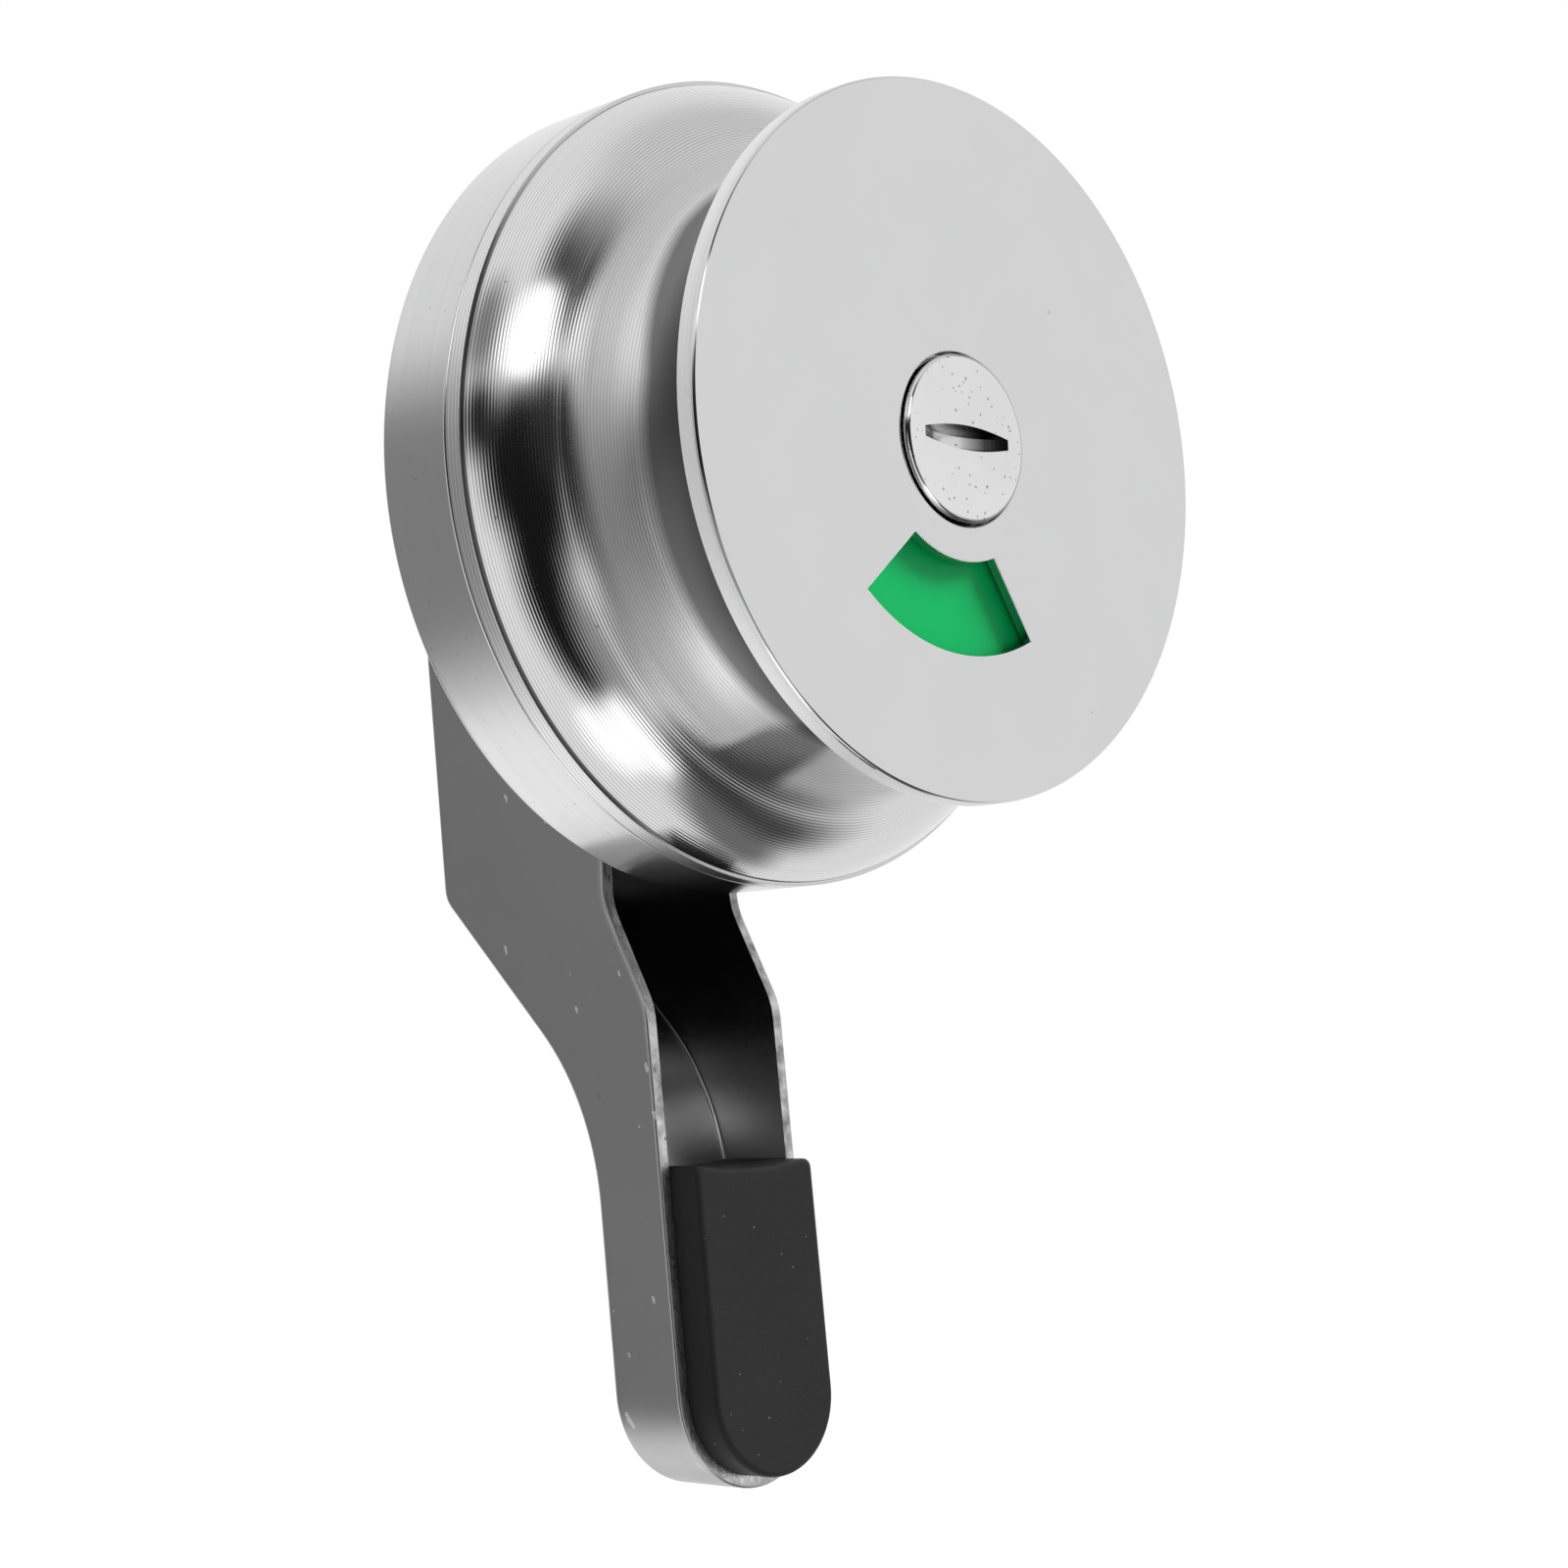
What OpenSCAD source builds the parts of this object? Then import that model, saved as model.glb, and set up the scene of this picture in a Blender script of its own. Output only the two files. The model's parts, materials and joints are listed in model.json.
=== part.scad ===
// Indicator bolt for a toilet cubicle door.
// Outside: a turned pull knob with a coin-slotted spindle and a vacant/engaged window.
// Inside: a round rosette and a swinging sheet-steel lever with a rubber pad, which is the bolt.
// The lock axis is Y: the outside face looks along -Y, the door's outside face is y = 0, +Z is up.

/* [Knob] */
// Diameter of the flat face disc
face_d = 55; // [53:0.5:60]
// Thickness of the face disc
face_t = 1.7; // [1.2:0.1:2.2]
// Bevel round the front edge of the face disc
face_bevel = 0.3; // [0.1:0.05:0.5]
// Diameter of the knob's flange and of the rosette, which pinch the door
flange_d = 64.5; // [62:0.5:72]
// Width of the flange's straight edge
flange_land = 1.6; // [1:0.1:2.5]
// Step where the turned shoulder leaves the flange's edge
flange_step = 0.25; // [0.1:0.05:0.5]
// From the door to the front of the face disc
knob_depth = 21.4; // [20.5:0.1:26]
// Slope of the shoulder where it leaves the flange, in degrees from the axis
shoulder_lead = 20; // [5:1:30]
// Radius of the shoulder's convex bend for each unit of the neck's hollow bend
shoulder_ratio = 0.76; // [0.5:0.02:1.2]
// Straight stretch of the neck behind the face disc
neck_land = 1.8; // [0.5:0.1:3]
// Wall of the neck round the face disc's spigot
neck_wall = 1.68; // [1.2:0.02:2.5]
// Width of the ring that the knob presses on the door
door_ring_w = 9; // [7.5:0.1:10]
// Depth of the wide bore at the back of the knob
back_bore_depth = 7.5; // [6:0.1:8.5]
// Depth of the groove for the ring that holds the carrier
ring_groove_depth = 1.1; // [0.8:0.1:1.4]
// Width of the carrier's ring
ring_w = 2.4; // [2:0.1:3]
// Thickness of the carrier's ring
ring_t = 1.2; // [1:0.05:1.4]
// How far the ring's groove lies inside the back of the knob
ring_recess = 0.6; // [0.4:0.05:1]

/* [Window] */
// Inner radius of the window
window_inner_r = 9.3; // [9:0.1:10.5]
// Outer radius of the window
window_outer_r = 16.4; // [15:0.1:17]
// Angle between the window's two sides
window_angle = 81; // [60:1:84]
// From the lock axis down to the point where the window's sides would meet
window_apex = 3.1; // [2:0.1:4]
// Turn of the face disc, which takes the window sideways
window_turn = 8; // [-10:1:10]
// Thickness of the face disc at the window
window_t = 0.85; // [0.6:0.05:1]
// Angle between neighbouring coloured films
film_gap = 2; // [1:1:3]
// How far the coloured films reach past the window's edges
film_margin = 0.7; // [0.4:0.1:0.8]
// Thickness of the coloured films
film_t = 0.15; // [0.1:0.01:0.25]
// Thickness of the indicator disc
indicator_t = 0.8; // [0.6:0.05:1.2]
// Wall of the spigot behind the face disc
spigot_t = 1.1; // [0.8:0.05:1.5]
// Depth of the pocket behind the face disc
pocket_depth = 3.6; // [3.4:0.1:4.2]
// Depth of the spigot behind the face disc
spigot_depth = 1.8; // [1.4:0.1:2.4]

/* [Spindle] */
// Diameter of the spindle's head
head_d = 12.8; // [11:0.1:13.4]
// How far the head stands out of the face disc
head_proud = 1; // [0.6:0.1:1.4]
// Bevel round the head
head_bevel = 0.5; // [0.1:0.05:0.6]
// Length of the coin slot
slot_length = 9.2; // [7:0.1:10]
// Width of the coin slot at its middle
slot_w = 2.2; // [1.6:0.1:2.6]
// Depth of the coin slot
slot_depth = 1.7; // [1.2:0.1:1.9]
// Width of the collar step round the head
collar_step = 1.2; // [0.8:0.05:1.4]
// Thickness of the collar
collar_t = 0.6; // [0.5:0.05:0.8]
// Width of the step that carries the indicator disc, round the journal
seat_step = 1.5; // [1.2:0.1:2]
// Distance between the two flats that turn the indicator disc
seat_flats_w = 8.8; // [8:0.1:9.6]
// Diameter of the spindle in its bush
journal_d = 8; // [7.8:0.1:9]
// Side of the spindle's square tail
square_w = 5.5; // [5:0.1:5.5]
// How far the tail reaches behind the door's outside face
tail_reach = 25; // [22:0.5:25.5]
// Wall of the spindle's bush
spindle_bush_wall = 2; // [1.5:0.1:2.4]
// Width of the bush's flange
bush_flange_w = 2; // [1.5:0.1:3]
// Thickness of the bush's flange
bush_flange_t = 1; // [0.8:0.05:1.1]
// Depth of the grooves for the spindle's and the hub's clips
clip_groove_depth = 0.8; // [0.6:0.05:1]
// Width of the spindle's and the hub's clips
clip_w = 2.4; // [2:0.1:2.6]

/* [Fixing] */
// Distance between the two fixing posts
post_spacing = 29; // [28.4:0.1:29.4]
// Diameter of the fixing posts
post_d = 7.2; // [6.6:0.1:7.6]
// How far the posts reach behind the door's outside face
post_reach = 3.5; // [2.5:0.1:3.6]
// Thickness of the carrier in front of the posts and of the screws' holes
post_floor = 0.6; // [0.4:0.1:1]
// Length of the fixing screws under the head
fixing_screw_length = 22.5; // [19:0.5:22.5]
// Diameter of the screws
screw_d = 4; // [3.5:0.1:4]
// Diameter of the screw heads
screw_head_d = 7.4; // [6.8:0.1:7.8]
// Height of the screw heads
screw_head_h = 2.2; // [1.8:0.1:2.4]
// Height of the screw heads' straight edge
screw_head_edge = 1; // [0.6:0.1:1.4]
// Diameter of the flat on top of the screw heads
screw_head_flat_d = 5.4; // [5:0.1:6.2]
// Width of the cross recess in the screw heads
recess_w = 1.2; // [0.9:0.1:1.4]
// Length of the cross recess
recess_length = 4.8; // [4:0.1:5]
// Depth of the cross recess
recess_depth = 1.2; // [0.8:0.1:1.5]
// Diameter of the fixing screws' washers
screw_washer_d = 8.4; // [8:0.1:8.8]
// Thickness of the washers and clips
washer_t = 0.6; // [0.5:0.05:0.7]

/* [Rosette] */
// Depth of the rosette
rosette_depth = 7.8; // [7.6:0.1:9]
// Thickness of the rosette cover's sheet
cover_t = 1; // [0.8:0.05:1.2]
// Bevel round the rosette's back edge
cover_bevel = 0.8; // [0.3:0.1:0.9]
// Depth of the pocket for the stop plate
stop_pocket_depth = 4.5; // [4.4:0.1:5]
// Wall of the hub's bush
hub_bush_wall = 1.2; // [0.9:0.05:1.4]
// Width of the hub bush's flange
hub_bush_flange_w = 1.9; // [1.2:0.1:2]
// Thickness of the hub bush's flange
hub_bush_flange_t = 0.8; // [0.6:0.05:1]
// Diameter of the stop pins
stop_pin_d = 2; // [1.6:0.1:2.2]
// How deep the stop pins sit in the rosette's base
stop_pin_seat = 2; // [1.5:0.1:2.2]
// How far the lever swings to each side
swing = 90; // [87:1:90]

/* [Lever] */
// Width of the lever
lever_w = 15; // [14.6:0.1:18]
// Thickness of the lever's sheet
sheet_t = 1; // [0.8:0.05:1.1]
// From the lock axis up to the lever's top end
lever_top = 11.5; // [10.5:0.5:16]
// From the lock axis down to the lever's tip
lever_reach = 79.3; // [74:0.5:95]
// From the rosette to the front edges of the lever's box
lever_gap = 4.5; // [4.2:0.1:6]
// Depth of the box behind the rosette
box_depth = 20.9; // [20.5:0.1:26]
// From the lock axis down to the box's back corner
box_drop = 31.2; // [26:0.1:33]
// From the lock axis down to where the back starts to lean towards the door
seat_drop = 9; // [8:0.5:11]
// Radius of the box's back corner
box_corner_r = 2.2; // [1.2:0.1:4]
// Slope of the lever's back between the box and the leg
back_slope = 46; // [40:1:52]
// Radius of the wide bends of the back, above the box and into the leg
knee_r = 22; // [12:1:26]
// From the lock axis down to the start of the front edges' bend
bend_drop = 32.8; // [31.5:0.1:34]
// Height of the front edges' bend
bend_height = 8.4; // [7:0.1:10]
// Radius of the front edges' bends
bend_r = 6; // [2:0.5:7]
// How far the leg stands nearer the door than the box
leg_forward = 4.6; // [3:0.1:5.5]
// Lean of the leg and of the box's back towards the door
leg_lean = 4.5; // [0:0.5:5]
// Depth of the leg
leg_depth = 8; // [7:0.1:9]

/* [Hub] */
// Diameter of the lever's hub
hub_d = 12.6; // [12.2:0.1:12.8]
// Thickness of the hub's collar
hub_collar_t = 1.6; // [1.2:0.1:1.8]
// Width of the hub's collar
hub_collar_w = 2.7; // [2:0.1:3]
// Length of solid metal at the back of the hub
hub_solid = 6.2; // [5.8:0.1:7]
// Side of the square tenon in the lever
tenon_w = 7; // [6:0.1:7.4]
// How far the stop lug stands out of the hub
lug_height = 3.5; // [3:0.1:3.7]
// Width of the stop lug
lug_w = 4; // [3:0.1:4.6]
// Thickness of the stop plate
stop_plate_t = 1.5; // [1.2:0.1:1.7]
// Length of the lever screw under the head
lever_screw_length = 6.4; // [5:0.1:6.6]
// Diameter of the lever screw's washer
lever_washer_d = 11; // [9:0.5:12]

/* [Pad] */
// From the lock axis down to the top of the pad
pad_drop = 53.8; // [51:0.1:58]
// How far the pad stands out of the leg
pad_proud = 3.05; // [1.5:0.05:3.6]
// Rounding of the pad's front edges at its top
pad_edge_r = 0.9; // [0.5:0.1:2]

/* [Clearances] */
// Gap round pieces that turn in a bush
run_gap = 0.05; // [0.02:0.01:0.08]
// Gap round pieces that are pushed together
snug = 0.02; // [0.01:0.01:0.04]
// Gap round screws and loose pieces
loose = 0.2; // [0.1:0.05:0.25]
// End play of the turning pieces
end_play = 0.15; // [0.1:0.05:0.2]

/* [Hidden] */
$fn = 96;
bend_steps = 10;
over = 1;

// Stations along the lock axis, from the face disc back to the carrier inside the knob
face_front = -knob_depth;
face_back = face_front + face_t;
window_back = face_front + window_t;
collar_front = window_back + end_play;
collar_back = collar_front + collar_t;
indicator_back = collar_back + indicator_t;
core_front = face_back + pocket_depth;
bush_front = core_front - bush_flange_t;
ring_back = -ring_recess;
ring_front = ring_back - ring_t;
core_back = ring_front;
screw_hole_front = core_front + post_floor;
post_front = post_floor - back_bore_depth;
clip_front = core_back + end_play + washer_t;
clip_back = clip_front + washer_t;
journal_front = bush_front - end_play;
journal_back = clip_back + washer_t;

// Radii inside the knob, from the window outwards
head_r = head_d / 2;
collar_r = head_r + collar_step;
indicator_r = window_outer_r + film_margin + loose;
film_angle = swing - film_gap;
spigot_inner_r = indicator_r + 2 * loose;
spigot_outer_r = spigot_inner_r + spigot_t;
neck_bore_r = spigot_outer_r + snug;
neck_r = neck_bore_r + neck_wall;
flange_r = flange_d / 2;
back_bore_r = flange_r - door_ring_w;
ring_groove_r = back_bore_r + ring_groove_depth;
journal_r = journal_d / 2;
seat_r = journal_r + seat_step;
seat_flat = seat_flats_w / 2;
bush_bore_r = journal_r + run_gap;
bush_outer_r = bush_bore_r + spindle_bush_wall;
bush_flange_r = bush_outer_r + bush_flange_w;
post_x = post_spacing / 2;
post_r = post_d / 2;
screw_r = screw_d / 2;

// The shoulder and the neck are two arcs that meet on one tangent
ogee_top_r = flange_r - flange_step;
ogee_drop = ogee_top_r - neck_r;
ogee_run = -face_back - flange_land - neck_land;
ogee_rate = ogee_drop / ogee_run;
ogee_top_term = shoulder_ratio * cos(shoulder_lead) + 1 + ogee_rate * shoulder_ratio * sin(shoulder_lead);
ogee_slope = atan(ogee_rate) + acos(ogee_top_term / ((shoulder_ratio + 1) * sqrt(1 + ogee_rate * ogee_rate)));
hollow_r = ogee_run / (shoulder_ratio * (sin(ogee_slope) - sin(shoulder_lead)) + sin(ogee_slope));
shoulder_r = shoulder_ratio * hollow_r;
shoulder_centre = [ogee_top_r, -flange_land] - shoulder_r * [cos(shoulder_lead), -sin(shoulder_lead)];
hollow_centre = [neck_r + hollow_r, face_back + neck_land];

// Stations along the lock axis, inside half
cover_back = rosette_depth;
cover_inside = rosette_depth - cover_t;
rosette_r = flange_r;
base_r = rosette_r - cover_t - snug;
hub_r = hub_d / 2;
hub_bush_bore_r = hub_r + run_gap;
hub_bush_r = hub_bush_bore_r + hub_bush_wall;
hub_bush_flange_r = hub_bush_r + hub_bush_flange_w;
hub_bush_back = cover_back + hub_bush_flange_t;
wave_front = hub_bush_back + end_play / 2;
wave_back = wave_front + washer_t;
hub_collar_front = wave_back + end_play / 2;
stop_plate_back = stop_pocket_depth - end_play;
stop_plate_front = stop_plate_back - stop_plate_t;
hub_clip_front = stop_plate_front - washer_t;
hub_front = hub_clip_front - washer_t;
lug_r = hub_r + lug_height;
stop_pin_r = stop_pin_d / 2;
stop_pin_ring_r = hub_bush_r + stop_pin_r + loose;
stop_pocket_r = max(lug_r, stop_pin_ring_r + stop_pin_r) + loose;
stop_angle = swing + asin((lug_w / 2 + stop_pin_r + loose / 2) / stop_pin_ring_r);
stop_pin_back = stop_pocket_depth + stop_pin_seat;
post_pocket_depth = post_reach + loose;
screw_seat = cover_back + washer_t;

// The lever's side outline in the Y and Z directions
lever_half_w = lever_w / 2;
inner_half_w = lever_half_w - sheet_t;
box_front = rosette_depth + lever_gap;
box_back = box_front + box_depth;
lean_rate = tan(leg_lean);
seat_back = box_back + lean_rate * (box_drop - seat_drop);
web_front = seat_back - sheet_t;
bend_end = -bend_drop - bend_height;
leg_front_top = box_front - leg_forward;
function leg_front_y(z) = leg_front_top + lean_rate * (z - bend_end);
function leg_back_y(z) = leg_front_y(z) + leg_depth / cos(leg_lean);
back_run = (box_back - leg_back_y(-box_drop)) / (1 - lean_rate / tan(back_slope));
knee = [box_back - back_run, -box_drop - back_run / tan(back_slope)];

back_line = [
    [leg_back_y(-lever_reach), -lever_reach],
    knee,
    [box_back, -box_drop],
    [seat_back, -seat_drop],
    [seat_back, lever_top]
];

function unit(v) = v / norm(v);
function left_of(v) = [-v[1], v[0]];
function side(a, b) = left_of(unit(b - a));

// Corner b of the path a, b, c, moved sideways by t with both of its edges
function moved_corner(a, b, c, t) =
    let (m = side(a, b), n = side(b, c)) b + t * (m + n) / (1 + m * n);

// Points of an arc of radius r in the corner b between a and c
function corner_arc(a, b, c, r) =
    let (
        u = unit(a - b),
        v = unit(c - b),
        half = acos(u * v) / 2,
        centre = b + unit(u + v) * r / sin(half),
        from = b + u * r / tan(half) - centre,
        to = b + v * r / tan(half) - centre,
        turn = atan2(from[0] * to[1] - from[1] * to[0], from * to)
    )
    [for (i = [0 : bend_steps])
        let (q = turn * i / bend_steps)
        centre + [from[0] * cos(q) - from[1] * sin(q), from[0] * sin(q) + from[1] * cos(q)]];

// The lever's back line moved t towards the front, with its three bends
function back_path(t) =
    let (
        low = back_line[0] + t * side(back_line[0], back_line[1]),
        mid = moved_corner(back_line[0], back_line[1], back_line[2], t),
        high = moved_corner(back_line[1], back_line[2], back_line[3], t),
        seat = moved_corner(back_line[2], back_line[3], back_line[4], t),
        top = back_line[4] + t * side(back_line[3], back_line[4])
    )
    concat(
        [low],
        corner_arc(low, mid, high, knee_r + t),
        corner_arc(mid, high, seat, box_corner_r - t),
        corner_arc(high, seat, top, knee_r - t),
        [top]
    );

// Everything in front of the lever's back line moved t towards the front
function channel_outline(t) = concat(
    [[-box_back, lever_top + over], [-box_back, -lever_reach - over]],
    back_path(t)
);

front_low = [leg_front_y(-lever_reach), -lever_reach];
front_bend_low = [leg_front_top, bend_end];
front_bend_high = [box_front, -bend_drop];
front_top = [box_front, lever_top];
front_path = concat(
    [front_top],
    corner_arc(front_top, front_bend_high, front_bend_low, bend_r),
    corner_arc(front_bend_high, front_bend_low, front_low, bend_r),
    [front_low]
);

// Turns what stands on Z so that it stands on the lock axis
module along_y() {
    rotate([-90, 0, 0]) children();
}

// Draws an outline of Y and Z values and gives it a thickness across the lock
module side_plate(w, outline) {
    rotate([90, 0, 90])
        linear_extrude(w, center = true)
            polygon(outline);
}

module rod(r, from, to) {
    along_y()
        translate([0, 0, from])
            cylinder(r = r, h = to - from);
}

module ring(inner_r, outer_r, from, to) {
    difference() {
        rod(outer_r, from, to);
        rod(inner_r, from - over, to + over);
    }
}

module square_rod(w, from, to) {
    translate([-w / 2, from, -w / 2])
        cube([w, to - from, w]);
}

// A ring sector centred at an angle from straight down, on the lock axis
module sector(inner_r, outer_r, angle, centre_angle, from, to) {
    along_y()
        translate([0, 0, from])
            rotate([0, 0, 90 - centre_angle - angle / 2])
                rotate_extrude(angle = angle)
                    translate([inner_r, 0])
                        square([outer_r - inner_r, to - from]);
}

// The window: a piece of a ring between two slanting sides
module window_hole(from, to) {
    half = window_angle / 2;
    reach = 2 * window_outer_r;
    rotate([0, window_turn, 0])
        intersection() {
            ring(window_inner_r, window_outer_r, from, to);
            along_y()
                translate([0, window_apex, from])
                    linear_extrude(to - from)
                        polygon([[0, 0], reach * [sin(half), cos(half)], reach * [-sin(half), cos(half)]]);
        }
}

// A slot with round ends seen along the lock axis
module slot_prism(half_w, top, bottom, from, to) {
    along_y()
        translate([0, 0, from])
            linear_extrude(to - from)
                union() {
                    translate([-half_w, half_w - top])
                        square([2 * half_w, top - bottom - 2 * half_w]);
                    translate([0, half_w - top])
                        circle(half_w);
                    translate([0, -bottom - half_w])
                        circle(half_w);
                }
}

// A thin spring clip: a ring that is open on one side
module clip(inner_r, outer_r, from, to, gap) {
    difference() {
        ring(inner_r, outer_r, from, to);
        translate([-gap / 2, from - over, 0])
            cube([gap, to - from + 2 * over, outer_r + over]);
    }
}

// A pan-head screw that looks along +Y, with a cross recess
module pan_screw(seat, length) {
    head_back = seat + screw_head_h;
    difference() {
        union() {
            rod(screw_r, seat - length, seat);
            along_y()
                translate([0, 0, seat])
                    rotate_extrude()
                        polygon([
                            [0, 0],
                            [screw_head_d / 2, 0],
                            [screw_head_d / 2, screw_head_edge],
                            [screw_head_flat_d / 2, screw_head_h],
                            [0, screw_head_h]
                        ]);
        }
        for (turn = [0, 90])
            rotate([0, turn, 0])
                translate([-recess_length / 2, head_back - recess_depth, -recess_w / 2])
                    cube([recess_length, recess_depth + over, recess_w]);
    }
}

module at_posts() {
    for (x = [-post_x, post_x])
        translate([x, 0, 0]) children();
}

module face_plate() {
    face_r = face_d / 2;
    color("gainsboro")
        difference() {
            union() {
                along_y()
                    rotate_extrude()
                        polygon([
                            [0, face_front],
                            [face_r - face_bevel, face_front],
                            [face_r, face_front + face_bevel],
                            [face_r, face_back],
                            [0, face_back]
                        ]);
                ring(spigot_inner_r, spigot_outer_r, face_back - face_t / 2, face_back + spigot_depth);
            }
            rod(head_r + loose / 2, face_front - over, face_back + over);
            rod(spigot_inner_r, window_back, face_back + over);
            window_hole(face_front - over, face_back + over);
        }
}

module knob_body() {
    shoulder_arc = [
        for (i = [0 : bend_steps])
            let (q = shoulder_lead + (ogee_slope - shoulder_lead) * i / bend_steps)
            shoulder_centre + shoulder_r * [cos(q), -sin(q)]
    ];
    hollow_arc = [
        for (i = [1 : bend_steps])
            let (q = ogee_slope * (1 - i / bend_steps))
            hollow_centre + hollow_r * [-cos(q), sin(q)]
    ];
    color("silver")
        difference() {
            along_y()
                rotate_extrude()
                    polygon(concat(
                        [[neck_bore_r, 0], [flange_r, 0], [flange_r, -flange_land]],
                        shoulder_arc,
                        hollow_arc,
                        [[neck_r, face_back], [neck_bore_r, face_back]]
                    ));
            rod(back_bore_r, -back_bore_depth, over);
            rod(ring_groove_r, ring_front, ring_back);
        }
}

module knob_core() {
    color("dimgray")
        difference() {
            union() {
                rod(neck_bore_r - snug, core_front, -back_bore_depth);
                rod(back_bore_r - snug, -back_bore_depth, core_back);
            }
            rod(bush_outer_r + snug, core_front - over, core_back + over);
            at_posts() {
                rod(post_r + snug, post_front, core_back + over);
                rod(screw_r + loose, screw_hole_front, core_back + over);
            }
        }
}

module core_ring() {
    color("gray")
        clip(
            ring_groove_r - ring_w,
            ring_groove_r - loose,
            ring_front + snug,
            ring_back - snug,
            back_bore_r / 2
        );
}

module spindle_bush() {
    color("goldenrod")
        difference() {
            union() {
                rod(bush_outer_r, core_front - snug, core_back);
                rod(bush_flange_r, bush_front, core_front);
            }
            rod(bush_bore_r, bush_front - over, core_back + over);
        }
}

module fixing_posts() {
    color("darkgray")
        at_posts()
            ring(screw_r + run_gap, post_r, post_front, post_reach);
}

module coin_spindle() {
    head_front = face_front - head_proud;
    cutter_r = (slot_length * slot_length / 4 + slot_depth * slot_depth) / (2 * slot_depth);
    cutter_half_w = slot_w / 2 * cutter_r / slot_depth;
    color("whitesmoke")
        difference() {
            union() {
                along_y()
                    rotate_extrude()
                        polygon([
                            [0, head_front],
                            [head_r - head_bevel, head_front],
                            [head_r, head_front + head_bevel],
                            [head_r, collar_front],
                            [collar_r, collar_front],
                            [collar_r, collar_back],
                            [0, collar_back]
                        ]);
                intersection() {
                    rod(seat_r, collar_back, indicator_back);
                    translate([-seat_r, collar_back, -seat_flat])
                        cube([2 * seat_r, indicator_t, 2 * seat_flat]);
                }
                rod(seat_r, indicator_back, journal_front);
                rod(journal_r, journal_front, journal_back);
                square_rod(square_w, clip_back, tail_reach);
            }
            ring(journal_r - clip_groove_depth, journal_r + over, clip_front, clip_back);
            translate([0, head_front + slot_depth - cutter_r, 0])
                rotate_extrude()
                    polygon([[0, -cutter_half_w], [cutter_r, 0], [0, cutter_half_w]]);
        }
}

module indicator_disc() {
    color("gray")
        difference() {
            rod(indicator_r, collar_back, indicator_back);
            intersection() {
                rod(seat_r + snug, collar_back - over, indicator_back + over);
                translate([-indicator_r, collar_back - over, -seat_flat - snug])
                    cube([2 * indicator_r, indicator_t + 2 * over, 2 * (seat_flat + snug)]);
            }
        }
}

module film(centre_angle) {
    sector(
        window_inner_r - film_margin,
        window_outer_r + film_margin,
        film_angle,
        centre_angle,
        collar_back - film_t,
        collar_back
    );
}

module vacant_film() {
    color("mediumseagreen") film(0);
}

module engaged_films() {
    color("crimson") {
        film(-swing);
        film(swing);
    }
}

module spindle_washer() {
    color("silver")
        ring(
            journal_r + loose,
            bush_outer_r + loose,
            core_back + end_play / 2,
            core_back + end_play / 2 + washer_t
        );
}

module spindle_clip() {
    inner_r = journal_r - clip_groove_depth + snug;
    color("gray")
        clip(inner_r, inner_r + clip_w, clip_front + snug, clip_back - snug, journal_r);
}

module rosette_cover() {
    color("silver")
        difference() {
            along_y()
                rotate_extrude()
                    polygon([
                        [0, cover_inside],
                        [rosette_r - cover_t, cover_inside],
                        [rosette_r - cover_t, 0],
                        [rosette_r, 0],
                        [rosette_r, cover_back - cover_bevel],
                        [rosette_r - cover_bevel, cover_back],
                        [0, cover_back]
                    ]);
            rod(hub_bush_r + snug, cover_inside - over, cover_back + over);
            at_posts()
                rod(screw_r + loose, cover_inside - over, cover_back + over);
        }
}

module rosette_base() {
    color("dimgray")
        difference() {
            rod(base_r, 0, cover_inside);
            rod(stop_pocket_r, -over, stop_pocket_depth);
            rod(hub_bush_r + snug, 0, cover_inside + over);
            at_posts() {
                rod(post_r + loose, -over, post_pocket_depth);
                rod(screw_r + loose, 0, cover_inside + over);
            }
            at_stop_pins()
                rod(stop_pin_r + snug, 0, stop_pin_back);
        }
}

module at_stop_pins() {
    for (turn = [-stop_angle, stop_angle])
        rotate([0, turn, 0])
            translate([0, 0, -stop_pin_ring_r]) children();
}

module hub_bush() {
    color("goldenrod")
        difference() {
            union() {
                rod(hub_bush_r, stop_pocket_depth, cover_back + snug);
                rod(hub_bush_flange_r, cover_back, hub_bush_back);
            }
            rod(hub_bush_bore_r, 0, hub_bush_back + over);
        }
}

module stop_pins() {
    color("silver")
        at_stop_pins()
            rod(stop_pin_r, stop_plate_front + loose, stop_pin_back);
}

module fixing_screws() {
    color("lightgray")
        at_posts() pan_screw(screw_seat, fixing_screw_length);
}

module screw_washers() {
    color("silver")
        at_posts() ring(screw_r + loose, screw_washer_d / 2, cover_back, screw_seat);
}

module lever() {
    outline = concat(front_path, back_path(0));
    color("gray")
        difference() {
            intersection() {
                side_plate(lever_w, outline);
                slot_prism(lever_half_w, lever_top, -lever_reach, 0, seat_back + over);
            }
            intersection() {
                side_plate(2 * inner_half_w, channel_outline(sheet_t));
                slot_prism(
                    inner_half_w,
                    lever_top - sheet_t,
                    -lever_reach + sheet_t,
                    -over,
                    seat_back + over
                );
            }
            square_rod(tenon_w + 2 * snug, web_front - over, seat_back + over);
        }
}

module lever_hub() {
    socket_w = square_w + loose;
    groove_r = hub_r - clip_groove_depth;
    color("silver")
        difference() {
            union() {
                rod(hub_r, hub_front, web_front);
                rod(hub_r + hub_collar_w, hub_collar_front, hub_collar_front + hub_collar_t);
                square_rod(tenon_w, web_front - over, seat_back);
            }
            square_rod(socket_w, hub_front - over, web_front - hub_solid);
            ring(groove_r, hub_r + over, hub_clip_front, stop_plate_front);
            rod(screw_r + snug, web_front - hub_solid - over, seat_back + over);
        }
}

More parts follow.
